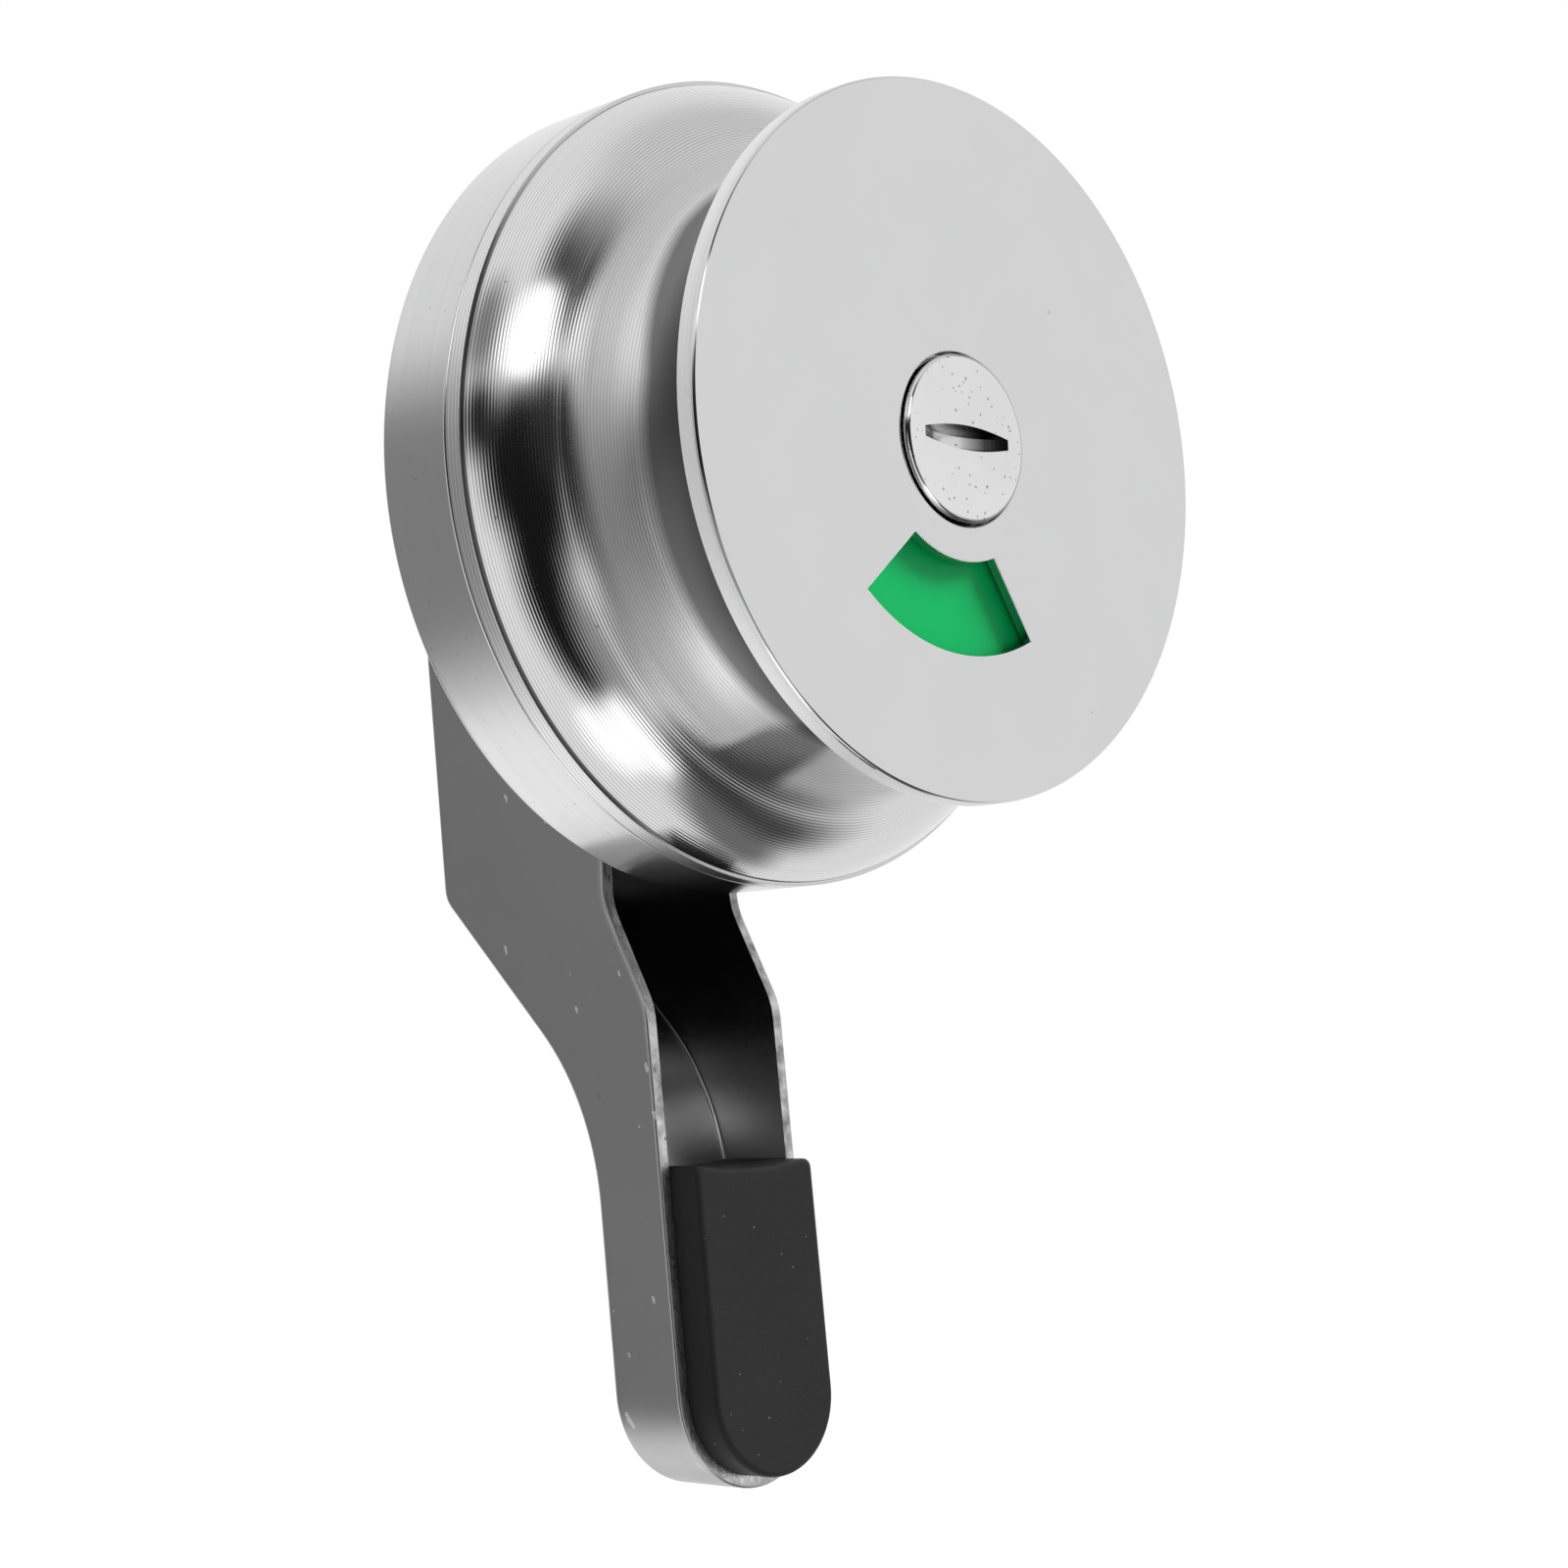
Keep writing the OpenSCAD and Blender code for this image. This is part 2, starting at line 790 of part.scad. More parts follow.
module stop_plate() {
    color("darkgray")
        difference() {
            union() {
                rod(stop_pin_ring_r - stop_pin_r - loose, stop_plate_front, stop_plate_back);
                intersection() {
                    rod(lug_r, stop_plate_front, stop_plate_back);
                    translate([-lug_w / 2, stop_plate_front, -lug_r])
                        cube([lug_w, stop_plate_t, lug_r]);
                }
            }
            rod(hub_r + snug, stop_plate_front - over, stop_plate_back + over);
        }
}

module wave_washer() {
    color("gray")
        ring(hub_r + loose, hub_r + hub_collar_w, wave_front, wave_back);
}

module hub_clip() {
    inner_r = hub_r - clip_groove_depth + snug;
    color("gray")
        clip(inner_r, inner_r + clip_w, hub_clip_front + snug, stop_plate_front - snug, hub_r);
}

module lever_washer() {
    color("silver")
        ring(screw_r + loose, lever_washer_d / 2, seat_back, seat_back + washer_t);
}

module lever_screw() {
    color("lightgray")
        pan_screw(seat_back + washer_t, lever_screw_length);
}

module rubber_pad() {
    shift = [-pad_proud / cos(leg_lean), 0];
    face_top = [leg_front_y(-pad_drop), -pad_drop] + shift;
    face_low = front_low + shift;
    top_back = [box_back, -pad_drop];
    block = concat(
        [top_back],
        corner_arc(top_back, face_top, face_low, pad_edge_r),
        [face_low, [box_back, -lever_reach]]
    );
    color("dimgray")
        intersection() {
            side_plate(lever_w, block);
            side_plate(lever_w, channel_outline(sheet_t + snug));
            slot_prism(inner_half_w - snug, 0, -lever_reach + sheet_t + snug, -box_back, box_back);
        }
}

face_plate();
knob_body();
knob_core();
core_ring();
spindle_bush();
fixing_posts();
coin_spindle();
indicator_disc();
vacant_film();
engaged_films();
spindle_washer();
spindle_clip();
rosette_cover();
rosette_base();
hub_bush();
stop_pins();
fixing_screws();
screw_washers();
lever();
lever_hub();
stop_plate();
wave_washer();
hub_clip();
lever_washer();
lever_screw();
rubber_pad();
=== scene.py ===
# %% [markdown]
# # An indicator bolt for a toilet cubicle door
# The lock has two halves that pinch the door. Outside is a turned pull knob with a polished face,
# a coin-slotted spindle and a window that shows green or red. Inside is a round rosette and a
# swinging channel of sheet steel with a rubber pad, which is the bolt itself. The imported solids
# come in first, and every piece made below is set in their frame: Y runs along the lock axis
# into the cubicle, and Z is up.

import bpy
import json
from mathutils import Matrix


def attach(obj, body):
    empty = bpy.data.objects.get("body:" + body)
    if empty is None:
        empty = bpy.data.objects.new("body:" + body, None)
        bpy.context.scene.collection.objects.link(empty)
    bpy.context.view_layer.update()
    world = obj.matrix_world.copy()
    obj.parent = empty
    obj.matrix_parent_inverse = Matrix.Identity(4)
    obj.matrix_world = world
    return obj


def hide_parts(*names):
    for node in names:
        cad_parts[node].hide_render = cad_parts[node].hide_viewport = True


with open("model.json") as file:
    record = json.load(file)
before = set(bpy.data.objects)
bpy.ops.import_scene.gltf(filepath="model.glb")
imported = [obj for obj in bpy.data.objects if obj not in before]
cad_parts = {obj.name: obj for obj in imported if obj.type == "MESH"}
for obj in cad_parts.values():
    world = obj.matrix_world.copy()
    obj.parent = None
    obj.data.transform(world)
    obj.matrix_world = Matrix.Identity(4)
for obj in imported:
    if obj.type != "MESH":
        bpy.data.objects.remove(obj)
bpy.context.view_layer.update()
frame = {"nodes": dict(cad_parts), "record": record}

# %% [markdown]
# ## Tools and units
# Locks are drawn in millimetres, so the sizes below are too, and MM turns them into metres. The
# solids bring plain materials with the names that the finishes need. They could be deleted, but
# the solids still wear them, so they only get another name.

# %% Tools for this lesson
import json
import math

import bmesh
import bpy
import numpy as np
from mathutils import Matrix, Vector

MM = 0.001
scene = bpy.context.scene
scene.view_settings.view_transform = "Standard"
for plain in list(bpy.data.materials):
    plain.name = "plain_" + plain.name
print("plain materials:", len(bpy.data.materials))

# %% [markdown]
# ## The camera
# The photograph looks at the knob from its left and a little from below, from only 24 cm away, so
# near edges look clearly bigger than far ones. The place and the turn of the camera could be set
# by eye, but the round edges fix them: each circle turns into an ellipse that only one camera
# gives. The three directions of that camera are written out here.

# %% Camera
camera_place = Vector((-165.84, -167.27, -46.37)) * MM
looks_along = Vector((0.70342, 0.70448, 0.09435)).normalized()
nearly_up = Vector((-0.04019, -0.09312, 0.99484))
camera_right = looks_along.cross(nearly_up).normalized()
camera_up = camera_right.cross(looks_along)
turn = Matrix((camera_right, camera_up, -looks_along)).transposed()
camera_data = bpy.data.cameras.new("photo_camera")
camera_data.sensor_width = 36
camera_data.lens = 68.419
camera_data.clip_start = 0.01
camera = bpy.data.objects.new("photo_camera", camera_data)
scene.collection.objects.link(camera)
camera.matrix_world = Matrix.Translation(camera_place) @ turn.to_4x4()
scene.camera = camera
print("camera is", round(camera_place.length / MM), "mm from the lock's centre")

# %% [markdown]
# ## Small helpers for materials
# A material in Blender is a tree of nodes, and adding each node takes several lines. These short
# helpers add a node with its settings, do a sum, split a place into X, Y and Z, fade a value in
# or out, mix two colours and open a group with named sockets. With them each finish below reads
# as a list of what it does.


# %% Node helpers
def add(tree, kind, sockets=None, **settings):
    node = tree.nodes.new(kind)
    for name, value in settings.items():
        setattr(node, name, value)
    for name, value in (sockets or {}).items():
        node.inputs[name].default_value = value
    return node


def math_node(tree, operation, *values, clamp=False):
    node = add(tree, "ShaderNodeMath", operation=operation, use_clamp=clamp)
    for socket, value in zip(node.inputs, values):
        if isinstance(value, (int, float)):
            socket.default_value = value
        else:
            tree.links.new(value, socket)
    return node.outputs[0]


def times(tree, first, second):
    return math_node(tree, "MULTIPLY", first, second)


def split(tree, vector):
    node = add(tree, "ShaderNodeSeparateXYZ")
    tree.links.new(vector, node.inputs[0])
    return [node.outputs[axis] for axis in "XYZ"]


# %% Fading and mixing
def spread(tree, value, low, high, out_low, out_high):
    ends = {"From Min": low, "From Max": high, "To Min": out_low, "To Max": out_high}
    node = add(tree, "ShaderNodeMapRange", ends)
    tree.links.new(value, node.inputs["Value"])
    return node.outputs["Result"]


def fade_in(tree, value, start, full):
    return spread(tree, value, start, full, 0.0, 1.0)


def fade_out(tree, value, full, end):
    return spread(tree, value, full, end, 1.0, 0.0)


def mix_colour(tree, factor, first, second):
    node = add(tree, "ShaderNodeMix", data_type="RGBA")
    tree.links.new(factor, node.inputs["Factor"])
    for socket, value in ((node.inputs[6], first), (node.inputs[7], second)):
        if isinstance(value, tuple):
            socket.default_value = (*value, 1.0)
        else:
            tree.links.new(value, socket)
    return node.outputs[2]


def grey(level):
    return (level, level, level)


# %% Groups
VECTOR, FLOAT = "NodeSocketVector", "NodeSocketFloat"


def open_group(name, inputs, outputs):
    tree = bpy.data.node_groups.new(name, "ShaderNodeTree")
    for label, kind, start in inputs:
        socket = tree.interface.new_socket(label, in_out="INPUT", socket_type=kind)
        if start is not None:
            socket.default_value = start
    for label, kind in outputs:
        tree.interface.new_socket(label, in_out="OUTPUT", socket_type=kind)
    print("group:", name)
    return tree, tree.nodes.new("NodeGroupInput"), tree.nodes.new("NodeGroupOutput")


def place(tree, group, coordinates, sockets=None):
    node = add(tree, "ShaderNodeGroup", node_tree=group)
    tree.links.new(coordinates, node.inputs["Vector"])
    for name, value in (sockets or {}).items():
        node.inputs[name].default_value = value
    return node


# %% [markdown]
# ## Turning marks
# A lathe tool leaves a fine thread of rings on the knob, about four to a millimetre. They could
# be modelled, but so many rings would cost millions of faces. This group measures how far a point
# is from the lock axis and how far along it, adds the two into one distance that runs along the
# knob's curved side, and turns that distance into waves and a little random ripple.

# %% Turning marks group
turning_marks, given, result = open_group(
    "turning_marks",
    [("Vector", VECTOR, None), ("Pitch mm", FLOAT, 0.25), ("Ripple", FLOAT, 0.4)],
    [("Height", FLOAT), ("Streak", FLOAT), ("Radius mm", FLOAT)],
)
AXIS_SHARE = 0.8
t = turning_marks
x, y, z = split(t, given.outputs["Vector"])
radius = math_node(t, "SQRT", math_node(t, "ADD", times(t, x, x), times(t, z, z)))
t.links.new(times(t, radius, 1000.0), result.inputs["Radius mm"])
along_mm = times(t, math_node(t, "ADD", radius, times(t, y, AXIS_SHARE)), 1000.0)
rings = math_node(t, "DIVIDE", along_mm, given.outputs["Pitch mm"])
wave = math_node(t, "SINE", times(t, rings, 2 * math.pi))
ripple = add(t, "ShaderNodeTexNoise", {"Scale": 1.7, "Detail": 3.0, "Roughness": 0.6},
             noise_dimensions="1D")
t.links.new(rings, ripple.inputs["W"])
ripple_part = times(t, ripple.outputs["Fac"], given.outputs["Ripple"])
half_wave = math_node(t, "MULTIPLY_ADD", wave, 0.25, 0.25)
t.links.new(math_node(t, "ADD", half_wave, ripple_part), result.inputs["Height"])
broad = add(t, "ShaderNodeTexNoise", {"Scale": 0.9, "Detail": 4.0, "Roughness": 0.7},
            noise_dimensions="1D")
t.links.new(along_mm, broad.inputs["W"])
t.links.new(broad.outputs["Fac"], result.inputs["Streak"])
print("rings count the way along the axis by", AXIS_SHARE)

# %% [markdown]
# ## Scratches, dust and pits
# Handled metal has short hairlines and scuffs, and dust, pits and lint show as tiny dots. All come
# from one idea: a Voronoi pattern scatters points, a random number of each cell keeps only a few
# of them, and the distance to the kept point is cut off small. Stretching the space makes a
# stroke of the dot. The space is frayed by a noise and turned before that, so that strokes are
# ragged and don't run along the axes.

# %% Scatter groups
FRAY_SCALE, FRAY = 2500.0, 0.25 * MM
STROKE_TURN = (0.5, 0.35, 0.8)


def scatter_group(name, stretch, kept, reach):
    tree, given, result = open_group(name, [("Vector", VECTOR, None)], [("Mask", FLOAT)])
    uneven = add(tree, "ShaderNodeTexNoise", {"Scale": FRAY_SCALE, "Detail": 2.0})
    frayed = add(tree, "ShaderNodeVectorMath", operation="MULTIPLY_ADD")
    frayed.inputs[1].default_value = (FRAY, FRAY, FRAY)
    turned = add(tree, "ShaderNodeMapping", {"Rotation": STROKE_TURN})
    shaped = add(tree, "ShaderNodeMapping", {"Scale": stretch})
    cells = add(tree, "ShaderNodeTexVoronoi", {"Scale": 1.0, "Randomness": 1.0})
    chance = add(tree, "ShaderNodeSeparateColor")
    for source, target in (
        (given.outputs["Vector"], uneven.inputs["Vector"]),
        (uneven.outputs["Color"], frayed.inputs[0]),
        (given.outputs["Vector"], frayed.inputs[2]),
        (frayed.outputs["Vector"], turned.inputs["Vector"]),
        (turned.outputs["Vector"], shaped.inputs["Vector"]),
        (shaped.outputs["Vector"], cells.inputs["Vector"]),
        (cells.outputs["Color"], chance.inputs["Color"]),
    ):
        tree.links.new(source, target)
    lucky = math_node(tree, "GREATER_THAN", chance.outputs["Red"], 1.0 - kept)
    size = times(tree, chance.outputs["Green"], reach)
    near = math_node(tree, "LESS_THAN", cells.outputs["Distance"], size)
    tree.links.new(times(tree, lucky, near), result.inputs["Mask"])
    return tree


hairlines = scatter_group("hairlines", (90.0, 2600.0, 700.0), kept=0.012, reach=0.16)
scuffs = scatter_group("scuffs", (700.0, 900.0, 250.0), kept=0.2, reach=0.24)
specks = scatter_group("specks", (650.0, 650.0, 650.0), kept=0.05, reach=0.13)
pits = scatter_group("pits", (1900.0, 1900.0, 1900.0), kept=0.12, reach=0.3)
lint = scatter_group("lint", (1300.0, 1000.0, 1300.0), kept=0.2, reach=0.16)
nicks = scatter_group("nicks", (2200.0, 2200.0, 2200.0), kept=0.4, reach=0.3)

# %% [markdown]
# ## Rolled sheet grain
# Sheet steel keeps faint lines from the rolls, and its grey is cloudy. The group stretches one
# noise along the sheet for the lines and adds a slow one for the clouds.

# %% Sheet grain group
sheet_grain, given, result = open_group(
    "sheet_grain",
    [("Vector", VECTOR, None), ("Stretch", VECTOR, (1.0, 1.0, 1.0)), ("Clouds", FLOAT, 95.0)],
    [("Grain", FLOAT), ("Cloud", FLOAT)],
)
t = sheet_grain
stretched = add(t, "ShaderNodeVectorMath", operation="MULTIPLY")
t.links.new(given.outputs["Vector"], stretched.inputs[0])
t.links.new(given.outputs["Stretch"], stretched.inputs[1])
lines = add(t, "ShaderNodeTexNoise", {"Scale": 1.0, "Detail": 5.0, "Roughness": 0.65})
t.links.new(stretched.outputs[0], lines.inputs["Vector"])
t.links.new(lines.outputs["Fac"], result.inputs["Grain"])
cloud = add(t, "ShaderNodeTexNoise", {"Detail": 4.0, "Roughness": 0.6})
t.links.new(given.outputs["Clouds"], cloud.inputs["Scale"])
t.links.new(given.outputs["Vector"], cloud.inputs["Vector"])
t.links.new(cloud.outputs["Fac"], result.inputs["Cloud"])
print("nodes in the grain group:", len(sheet_grain.nodes))

# %% [markdown]
# ## One recipe for the metals
# Every metal here is a Principled shader with Metallic at one. What sets them apart is how much
# they scatter light and which marks they carry, so one recipe places the groups and each metal
# passes its own numbers. The marks change the colour, the roughness and the height of a Bump node.

# %% Metal recipe
TONES = (0.3, 0.7)  # most values of a noise lie between these


def start_material(name):
    material = bpy.data.materials.new(name)
    material.use_nodes = True
    tree = material.node_tree
    shader = tree.nodes["Principled BSDF"]
    coordinates = add(tree, "ShaderNodeTexCoord").outputs["Object"]
    return material, tree, shader, coordinates


def set_bump(tree, shader, height, depth):
    bump = add(tree, "ShaderNodeBump", {"Strength": 1.0, "Distance": depth * MM})
    tree.links.new(height, bump.inputs["Height"])
    tree.links.new(bump.outputs["Normal"], shader.inputs["Normal"])


def metal(name, light, dark, smooth, rough, depth, pitch=None, stretch=None, clouds=95.0,
          dots=specks, marks=grey(0.1), lines=hairlines, scuff=0.1):
    material, tree, shader, coordinates = start_material(name)
    shader.inputs["Metallic"].default_value = 1.0
    if pitch:
        texture = place(tree, turning_marks, coordinates, {"Pitch mm": pitch})
        tone, height = texture.outputs["Streak"], texture.outputs["Height"]
    else:
        sockets = {"Stretch": stretch, "Clouds": clouds}
        texture = place(tree, sheet_grain, coordinates, sockets)
        tone, height = texture.outputs["Cloud"], texture.outputs["Grain"]
    base = mix_colour(tree, fade_in(tree, tone, *TONES), light, dark)
    scratch = place(tree, lines, coordinates).outputs["Mask"]
    speck = place(tree, dots, coordinates).outputs["Mask"]
    base = mix_colour(tree, times(tree, scratch, scuff), base, grey(0.8))
    base = mix_colour(tree, times(tree, speck, 0.75), base, marks)
    tree.links.new(base, shader.inputs["Base Color"])
    evenly = spread(tree, tone, *TONES, smooth, rough)
    worn = math_node(tree, "ADD", evenly, times(tree, scratch, 0.25), clamp=True)
    tree.links.new(worn, shader.inputs["Roughness"])
    dented = math_node(tree, "SUBTRACT", height, times(tree, scratch, 0.6))
    set_bump(tree, shader, dented, depth)
    print("metal:", name)
    return material


# %% [markdown]
# ## The metals of this lock
# The face is polished like a mirror, and its rim is left matt by the lathe. The rosette is satin.
# The lever is duller. Inside it is darker, which is painted shade in the channel, and it is rough
# and bright where the sheet was sheared. The spindle's head is chromed and full of small nicks.
# Its slot is duller, with a darker grey that is partly painted shade in the slot. The small parts
# inside are zinc plated, black spring steel or brass.

# %% Metals
EVEN, ALONG_Z, SHORT_Z = (700.0, 700.0, 700.0), (2400.0, 2400.0, 60.0), (2200.0, 2200.0, 900.0)
polished_steel = metal("polished_steel", (0.645, 0.645, 0.65), (0.63, 0.63, 0.635), 0.06, 0.09,
                       depth=0.0002, stretch=EVEN, marks=grey(0.45))
rim_steel = metal("rim_steel", grey(0.95), grey(0.8), 0.55, 0.65, depth=0.002, pitch=0.17)
satin_steel = metal("satin_steel", (0.63, 0.63, 0.635), (0.6, 0.6, 0.605), 0.17, 0.21,
                    depth=0.001, pitch=0.21, dots=pits, marks=grey(0.48))
lever_steel = metal("lever_steel", grey(0.45), grey(0.37), 0.27, 0.36, depth=0.004,
                    stretch=ALONG_Z, marks=grey(0.3), lines=scuffs, scuff=0.6)
# The darker grey inside the channel is painted shade.
lever_inside = metal("lever_inside", grey(0.4), grey(0.32), 0.2, 0.28, depth=0.004,
                     stretch=ALONG_Z)
sheared_edge = metal("sheared_edge", grey(0.64), grey(0.2), 0.2, 0.5, depth=0.06,
                     stretch=SHORT_Z, clouds=700.0, dots=pits)
spindle_chrome = metal("spindle_chrome", (0.74, 0.74, 0.745), (0.68, 0.68, 0.685), 0.04, 0.1,
                       depth=0.004, stretch=EVEN, dots=nicks, marks=grey(0.25))
# The slot's darker grey is partly painted shade in the recess. Its higher roughness is the duller
# cut.
slot_chrome = metal("slot_chrome", grey(0.68), grey(0.58), 0.1, 0.25, depth=0.004,
                    stretch=EVEN, dots=nicks)
metal("zinc_steel", (0.6, 0.61, 0.64), (0.47, 0.48, 0.5), 0.25, 0.4,
      depth=0.004, stretch=(800.0, 800.0, 800.0))
metal("spring_steel", (0.13, 0.13, 0.14), (0.08, 0.08, 0.085), 0.3, 0.45,
      depth=0.004, stretch=(900.0, 900.0, 900.0))
metal("brass", (0.72, 0.53, 0.22), (0.58, 0.4, 0.14), 0.2, 0.35, depth=0.003, pitch=0.3)

# %% [markdown]
# The spindle's head has a dark line along most of its rounded edge. It is painted shade of the gap
# round the head and painted reflection of dark surroundings. One end of its slot is darkened with
# painted shade. Neither has a thickness of its own, so the finish itself gets darker from one
# radius to the next and from left to right.


# %% Painted shade on the spindle's head
def paint_shade(material, radii, sides, shade):
    """Paints shade into a finish: darker from the first to the second radius and side, in
    millimetres.
    """
    tree = material.node_tree
    shader = tree.nodes["Principled BSDF"]
    bright = shader.inputs["Base Color"].links[0].from_socket
    coordinates = add(tree, "ShaderNodeTexCoord").outputs["Object"]
    from_axis = place(tree, turning_marks, coordinates).outputs["Radius mm"]
    left, right = sides
    painted_shade = times(tree, fade_in(tree, from_axis, *radii),
                 fade_in(tree, split(tree, coordinates)[0], left * MM, right * MM))
    tree.links.new(mix_colour(tree, painted_shade, bright, grey(shade)), shader.inputs["Base Color"])
    print("shade_painted_on:", material.name)


# Painted shade and painted reflection along the head's rim, and painted shade in one end of the
# slot.
paint_shade(spindle_chrome, radii=(6.1, 6.3), sides=(-2.5, -0.5), shade=0.1)
paint_shade(slot_chrome, radii=(0.3, 3.0), sides=(0.4, 1.0), shade=0.05)

# %% [markdown]
# ## The knob's finish
# The knob's side is one turned surface, but the tool and the polishing wheel reached it unevenly.
# The shoulder is nearly a mirror, with clear rings whose groove bottoms are darkened as painted
# shade. The hollow behind it is satin, with a shinier spot low on the left. Next to the face the
# neck is smooth and carries painted shade from the face disc. This band is wider towards the top
# and darkest right by the face. The small step at the flange carries a painted shadow line that
# fades out at the top and towards the lower right. Painting these zones by hand would need a
# picture. The distance from the lock axis and the place on the knob tell them apart as well, in
# numbers that can be changed.

# %% Zones of the knob
turned_steel, tree, shader, coordinates = start_material("turned_steel")
shader.inputs["Metallic"].default_value = 1.0
rings = place(tree, turning_marks, coordinates, {"Pitch mm": 0.3, "Ripple": 0.12})
from_axis = rings.outputs["Radius mm"]
x, _, z = split(tree, coordinates)
in_hollow = fade_in(tree, from_axis, 26.9, 25.4)
# The neck band is painted shade from the face disc and is wider towards the top. The band right by
# the face is darker painted shade still.
widening = spread(tree, z, 4 * MM, 16 * MM, 0.0, 0.8)
smooth_shaded_neck = fade_in(tree, math_node(tree, "SUBTRACT", from_axis, widening), 23.0, 22.4)
face_shadow = fade_in(tree, from_axis, 22.4, 21.2)
at_edge = fade_in(tree, from_axis, 32.16, 32.2)
# The dark line in the flange step is painted shadow, faded out at the top and towards the lower
# right.
step_shadow = times(tree, fade_in(tree, from_axis, 31.88, 31.92),
                math_node(tree, "SUBTRACT", 1.0, at_edge))
step_shadow = times(tree, step_shadow, fade_out(tree, z, 12 * MM, 26 * MM))
step_shadow = times(tree, step_shadow, fade_out(tree, x, -18 * MM, -4 * MM))
downward = math_node(tree, "SUBTRACT", z, times(tree, x, 0.5))
sideways = math_node(tree, "ADD", times(tree, x, 1000.0), from_axis)
shiny = times(tree, spread(tree, downward, -15.2 * MM, -16.5 * MM, 0.0, 0.9),
              fade_out(tree, sideways, 17.8, 19.6))
print("nodes for the zones:", len(tree.nodes))

# %% Turned steel
base = mix_colour(tree, rings.outputs["Streak"], grey(0.8), grey(0.72))
# Darker groove bottoms are painted shade. The neck, the face band and the step get their painted
# shade in the same loop.
groove = fade_out(tree, rings.outputs["Height"], 0.1, 0.5)
ring_shade = times(tree, groove, spread(tree, in_hollow, 0.0, 1.0, 0.45, 0.3))
for zone, shade in ((ring_shade, 0.25), (smooth_shaded_neck, 0.19), (face_shadow, 0.06), (step_shadow, 0.1)):
    base = mix_colour(tree, zone, base, grey(shade))
speck = place(tree, specks, coordinates).outputs["Mask"]
base = mix_colour(tree, times(tree, speck, 0.6), base, grey(0.15))
tree.links.new(base, shader.inputs["Base Color"])
dull = times(tree, in_hollow, spread(tree, from_axis, 24.4, 23.2, 1.0, 0.75))
dull = times(tree, dull, math_node(tree, "SUBTRACT", 1.0, shiny))
satin = math_node(tree, "MAXIMUM", dull, times(tree, at_edge, 0.45))
tree.links.new(spread(tree, satin, 0.0, 1.0, 0.12, 0.5), shader.inputs["Roughness"])
off_neck = math_node(tree, "SUBTRACT", 1.0, smooth_shaded_neck)
ringed = math_node(tree, "SUBTRACT", off_neck, at_edge, clamp=True)
set_bump(tree, shader, times(tree, rings.outputs["Height"], ringed), 0.0102)
print("finish:", turned_steel.name)

# %% [markdown]
# ## Rubber, moulded plastic and printed film
# Rubber is nearly black and scatters light widely, with a grain too fine to count and some lint.
# The plastic of the inner pieces is a plain moulding. The films behind the window are glossy and
# printed, so their colour is strong but slightly uneven. One recipe serves them all.


# %% Rubber and plastics
def moulded(name, light, dark, smooth, rough, depth, grain, dust=None, shine=0.5):
    material, tree, shader, coordinates = start_material(name)
    shader.inputs["Specular IOR Level"].default_value = shine
    texture = place(tree, sheet_grain, coordinates, {"Stretch": (grain, grain, grain)})
    base = mix_colour(tree, fade_in(tree, texture.outputs["Cloud"], *TONES), light, dark)
    if dust:
        speck = place(tree, lint, coordinates).outputs["Mask"]
        base = mix_colour(tree, times(tree, speck, 0.7), base, dust)
    tree.links.new(base, shader.inputs["Base Color"])
    uneven = spread(tree, texture.outputs["Grain"], *TONES, smooth, rough)
    tree.links.new(uneven, shader.inputs["Roughness"])
    set_bump(tree, shader, texture.outputs["Grain"], depth)
    print("moulded:", name)
    return material


pad_rubber = moulded("pad_rubber", (0.018, 0.018, 0.019), (0.014, 0.014, 0.015), 0.5, 0.66,
                     depth=0.02, grain=5200.0, dust=grey(0.13), shine=0.25)
moulded("nylon", (0.07, 0.07, 0.072), (0.05, 0.05, 0.052), 0.4, 0.55, depth=0.01, grain=2500.0)
moulded("indicator_grey", grey(0.5), grey(0.42), 0.4, 0.5, depth=0.005, grain=2500.0)
moulded("vacant_green", (0.004, 0.52, 0.14), (0.003, 0.47, 0.125), 0.3, 0.4,
        depth=0.002, grain=3000.0, shine=0.15)
moulded("engaged_red", (0.6, 0.02, 0.018), (0.5, 0.014, 0.012), 0.3, 0.4,
        depth=0.002, grain=3000.0, shine=0.05)

# %% [markdown]
# ## From a drawn outline to a piece
# A draughtsman gives a turned part as half of its outline, with a radius at each corner. One
# helper rounds the corners of such an outline and another spins it round the lock axis. The
# last one turns the mesh into a piece: its sharp edges stay sharp, its large faces keep their own
# normals, and it rides on one body of the lock in place of a solid.


# %% Outline helpers
def rounded(corners, steps=6):
    """Corners (a, b, radius) of an open outline, as points with the corners rounded."""
    points = []
    for i, (a, b, r) in enumerate(corners):
        here = np.array((a, b), float)
        if r == 0 or i in (0, len(corners) - 1):
            points.append(here)
            continue
        back = np.array(corners[i - 1][:2], float) - here
        ahead = np.array(corners[i + 1][:2], float) - here
        back, ahead = back / np.linalg.norm(back), ahead / np.linalg.norm(ahead)
        half = math.acos(np.clip(back @ ahead, -1, 1)) / 2
        middle = (back + ahead) / np.linalg.norm(back + ahead)
        centre = here + middle * r / math.sin(half)
        first = here + back * r / math.tan(half) - centre
        last = here + ahead * r / math.tan(half) - centre
        sweep = math.atan2(first[0] * last[1] - first[1] * last[0], first @ last)
        for k in range(steps + 1):
            c, s = math.cos(sweep * k / steps), math.sin(sweep * k / steps)
            points.append(centre + (first[0] * c - first[1] * s, first[0] * s + first[1] * c))
    return np.array(points)


def on_circle(bm, r, y, angle):
    """A corner at radius r round the lock axis, with the angle counted from straight down."""
    return bm.verts.new((r * MM * math.sin(angle), y * MM, -r * MM * math.cos(angle)))


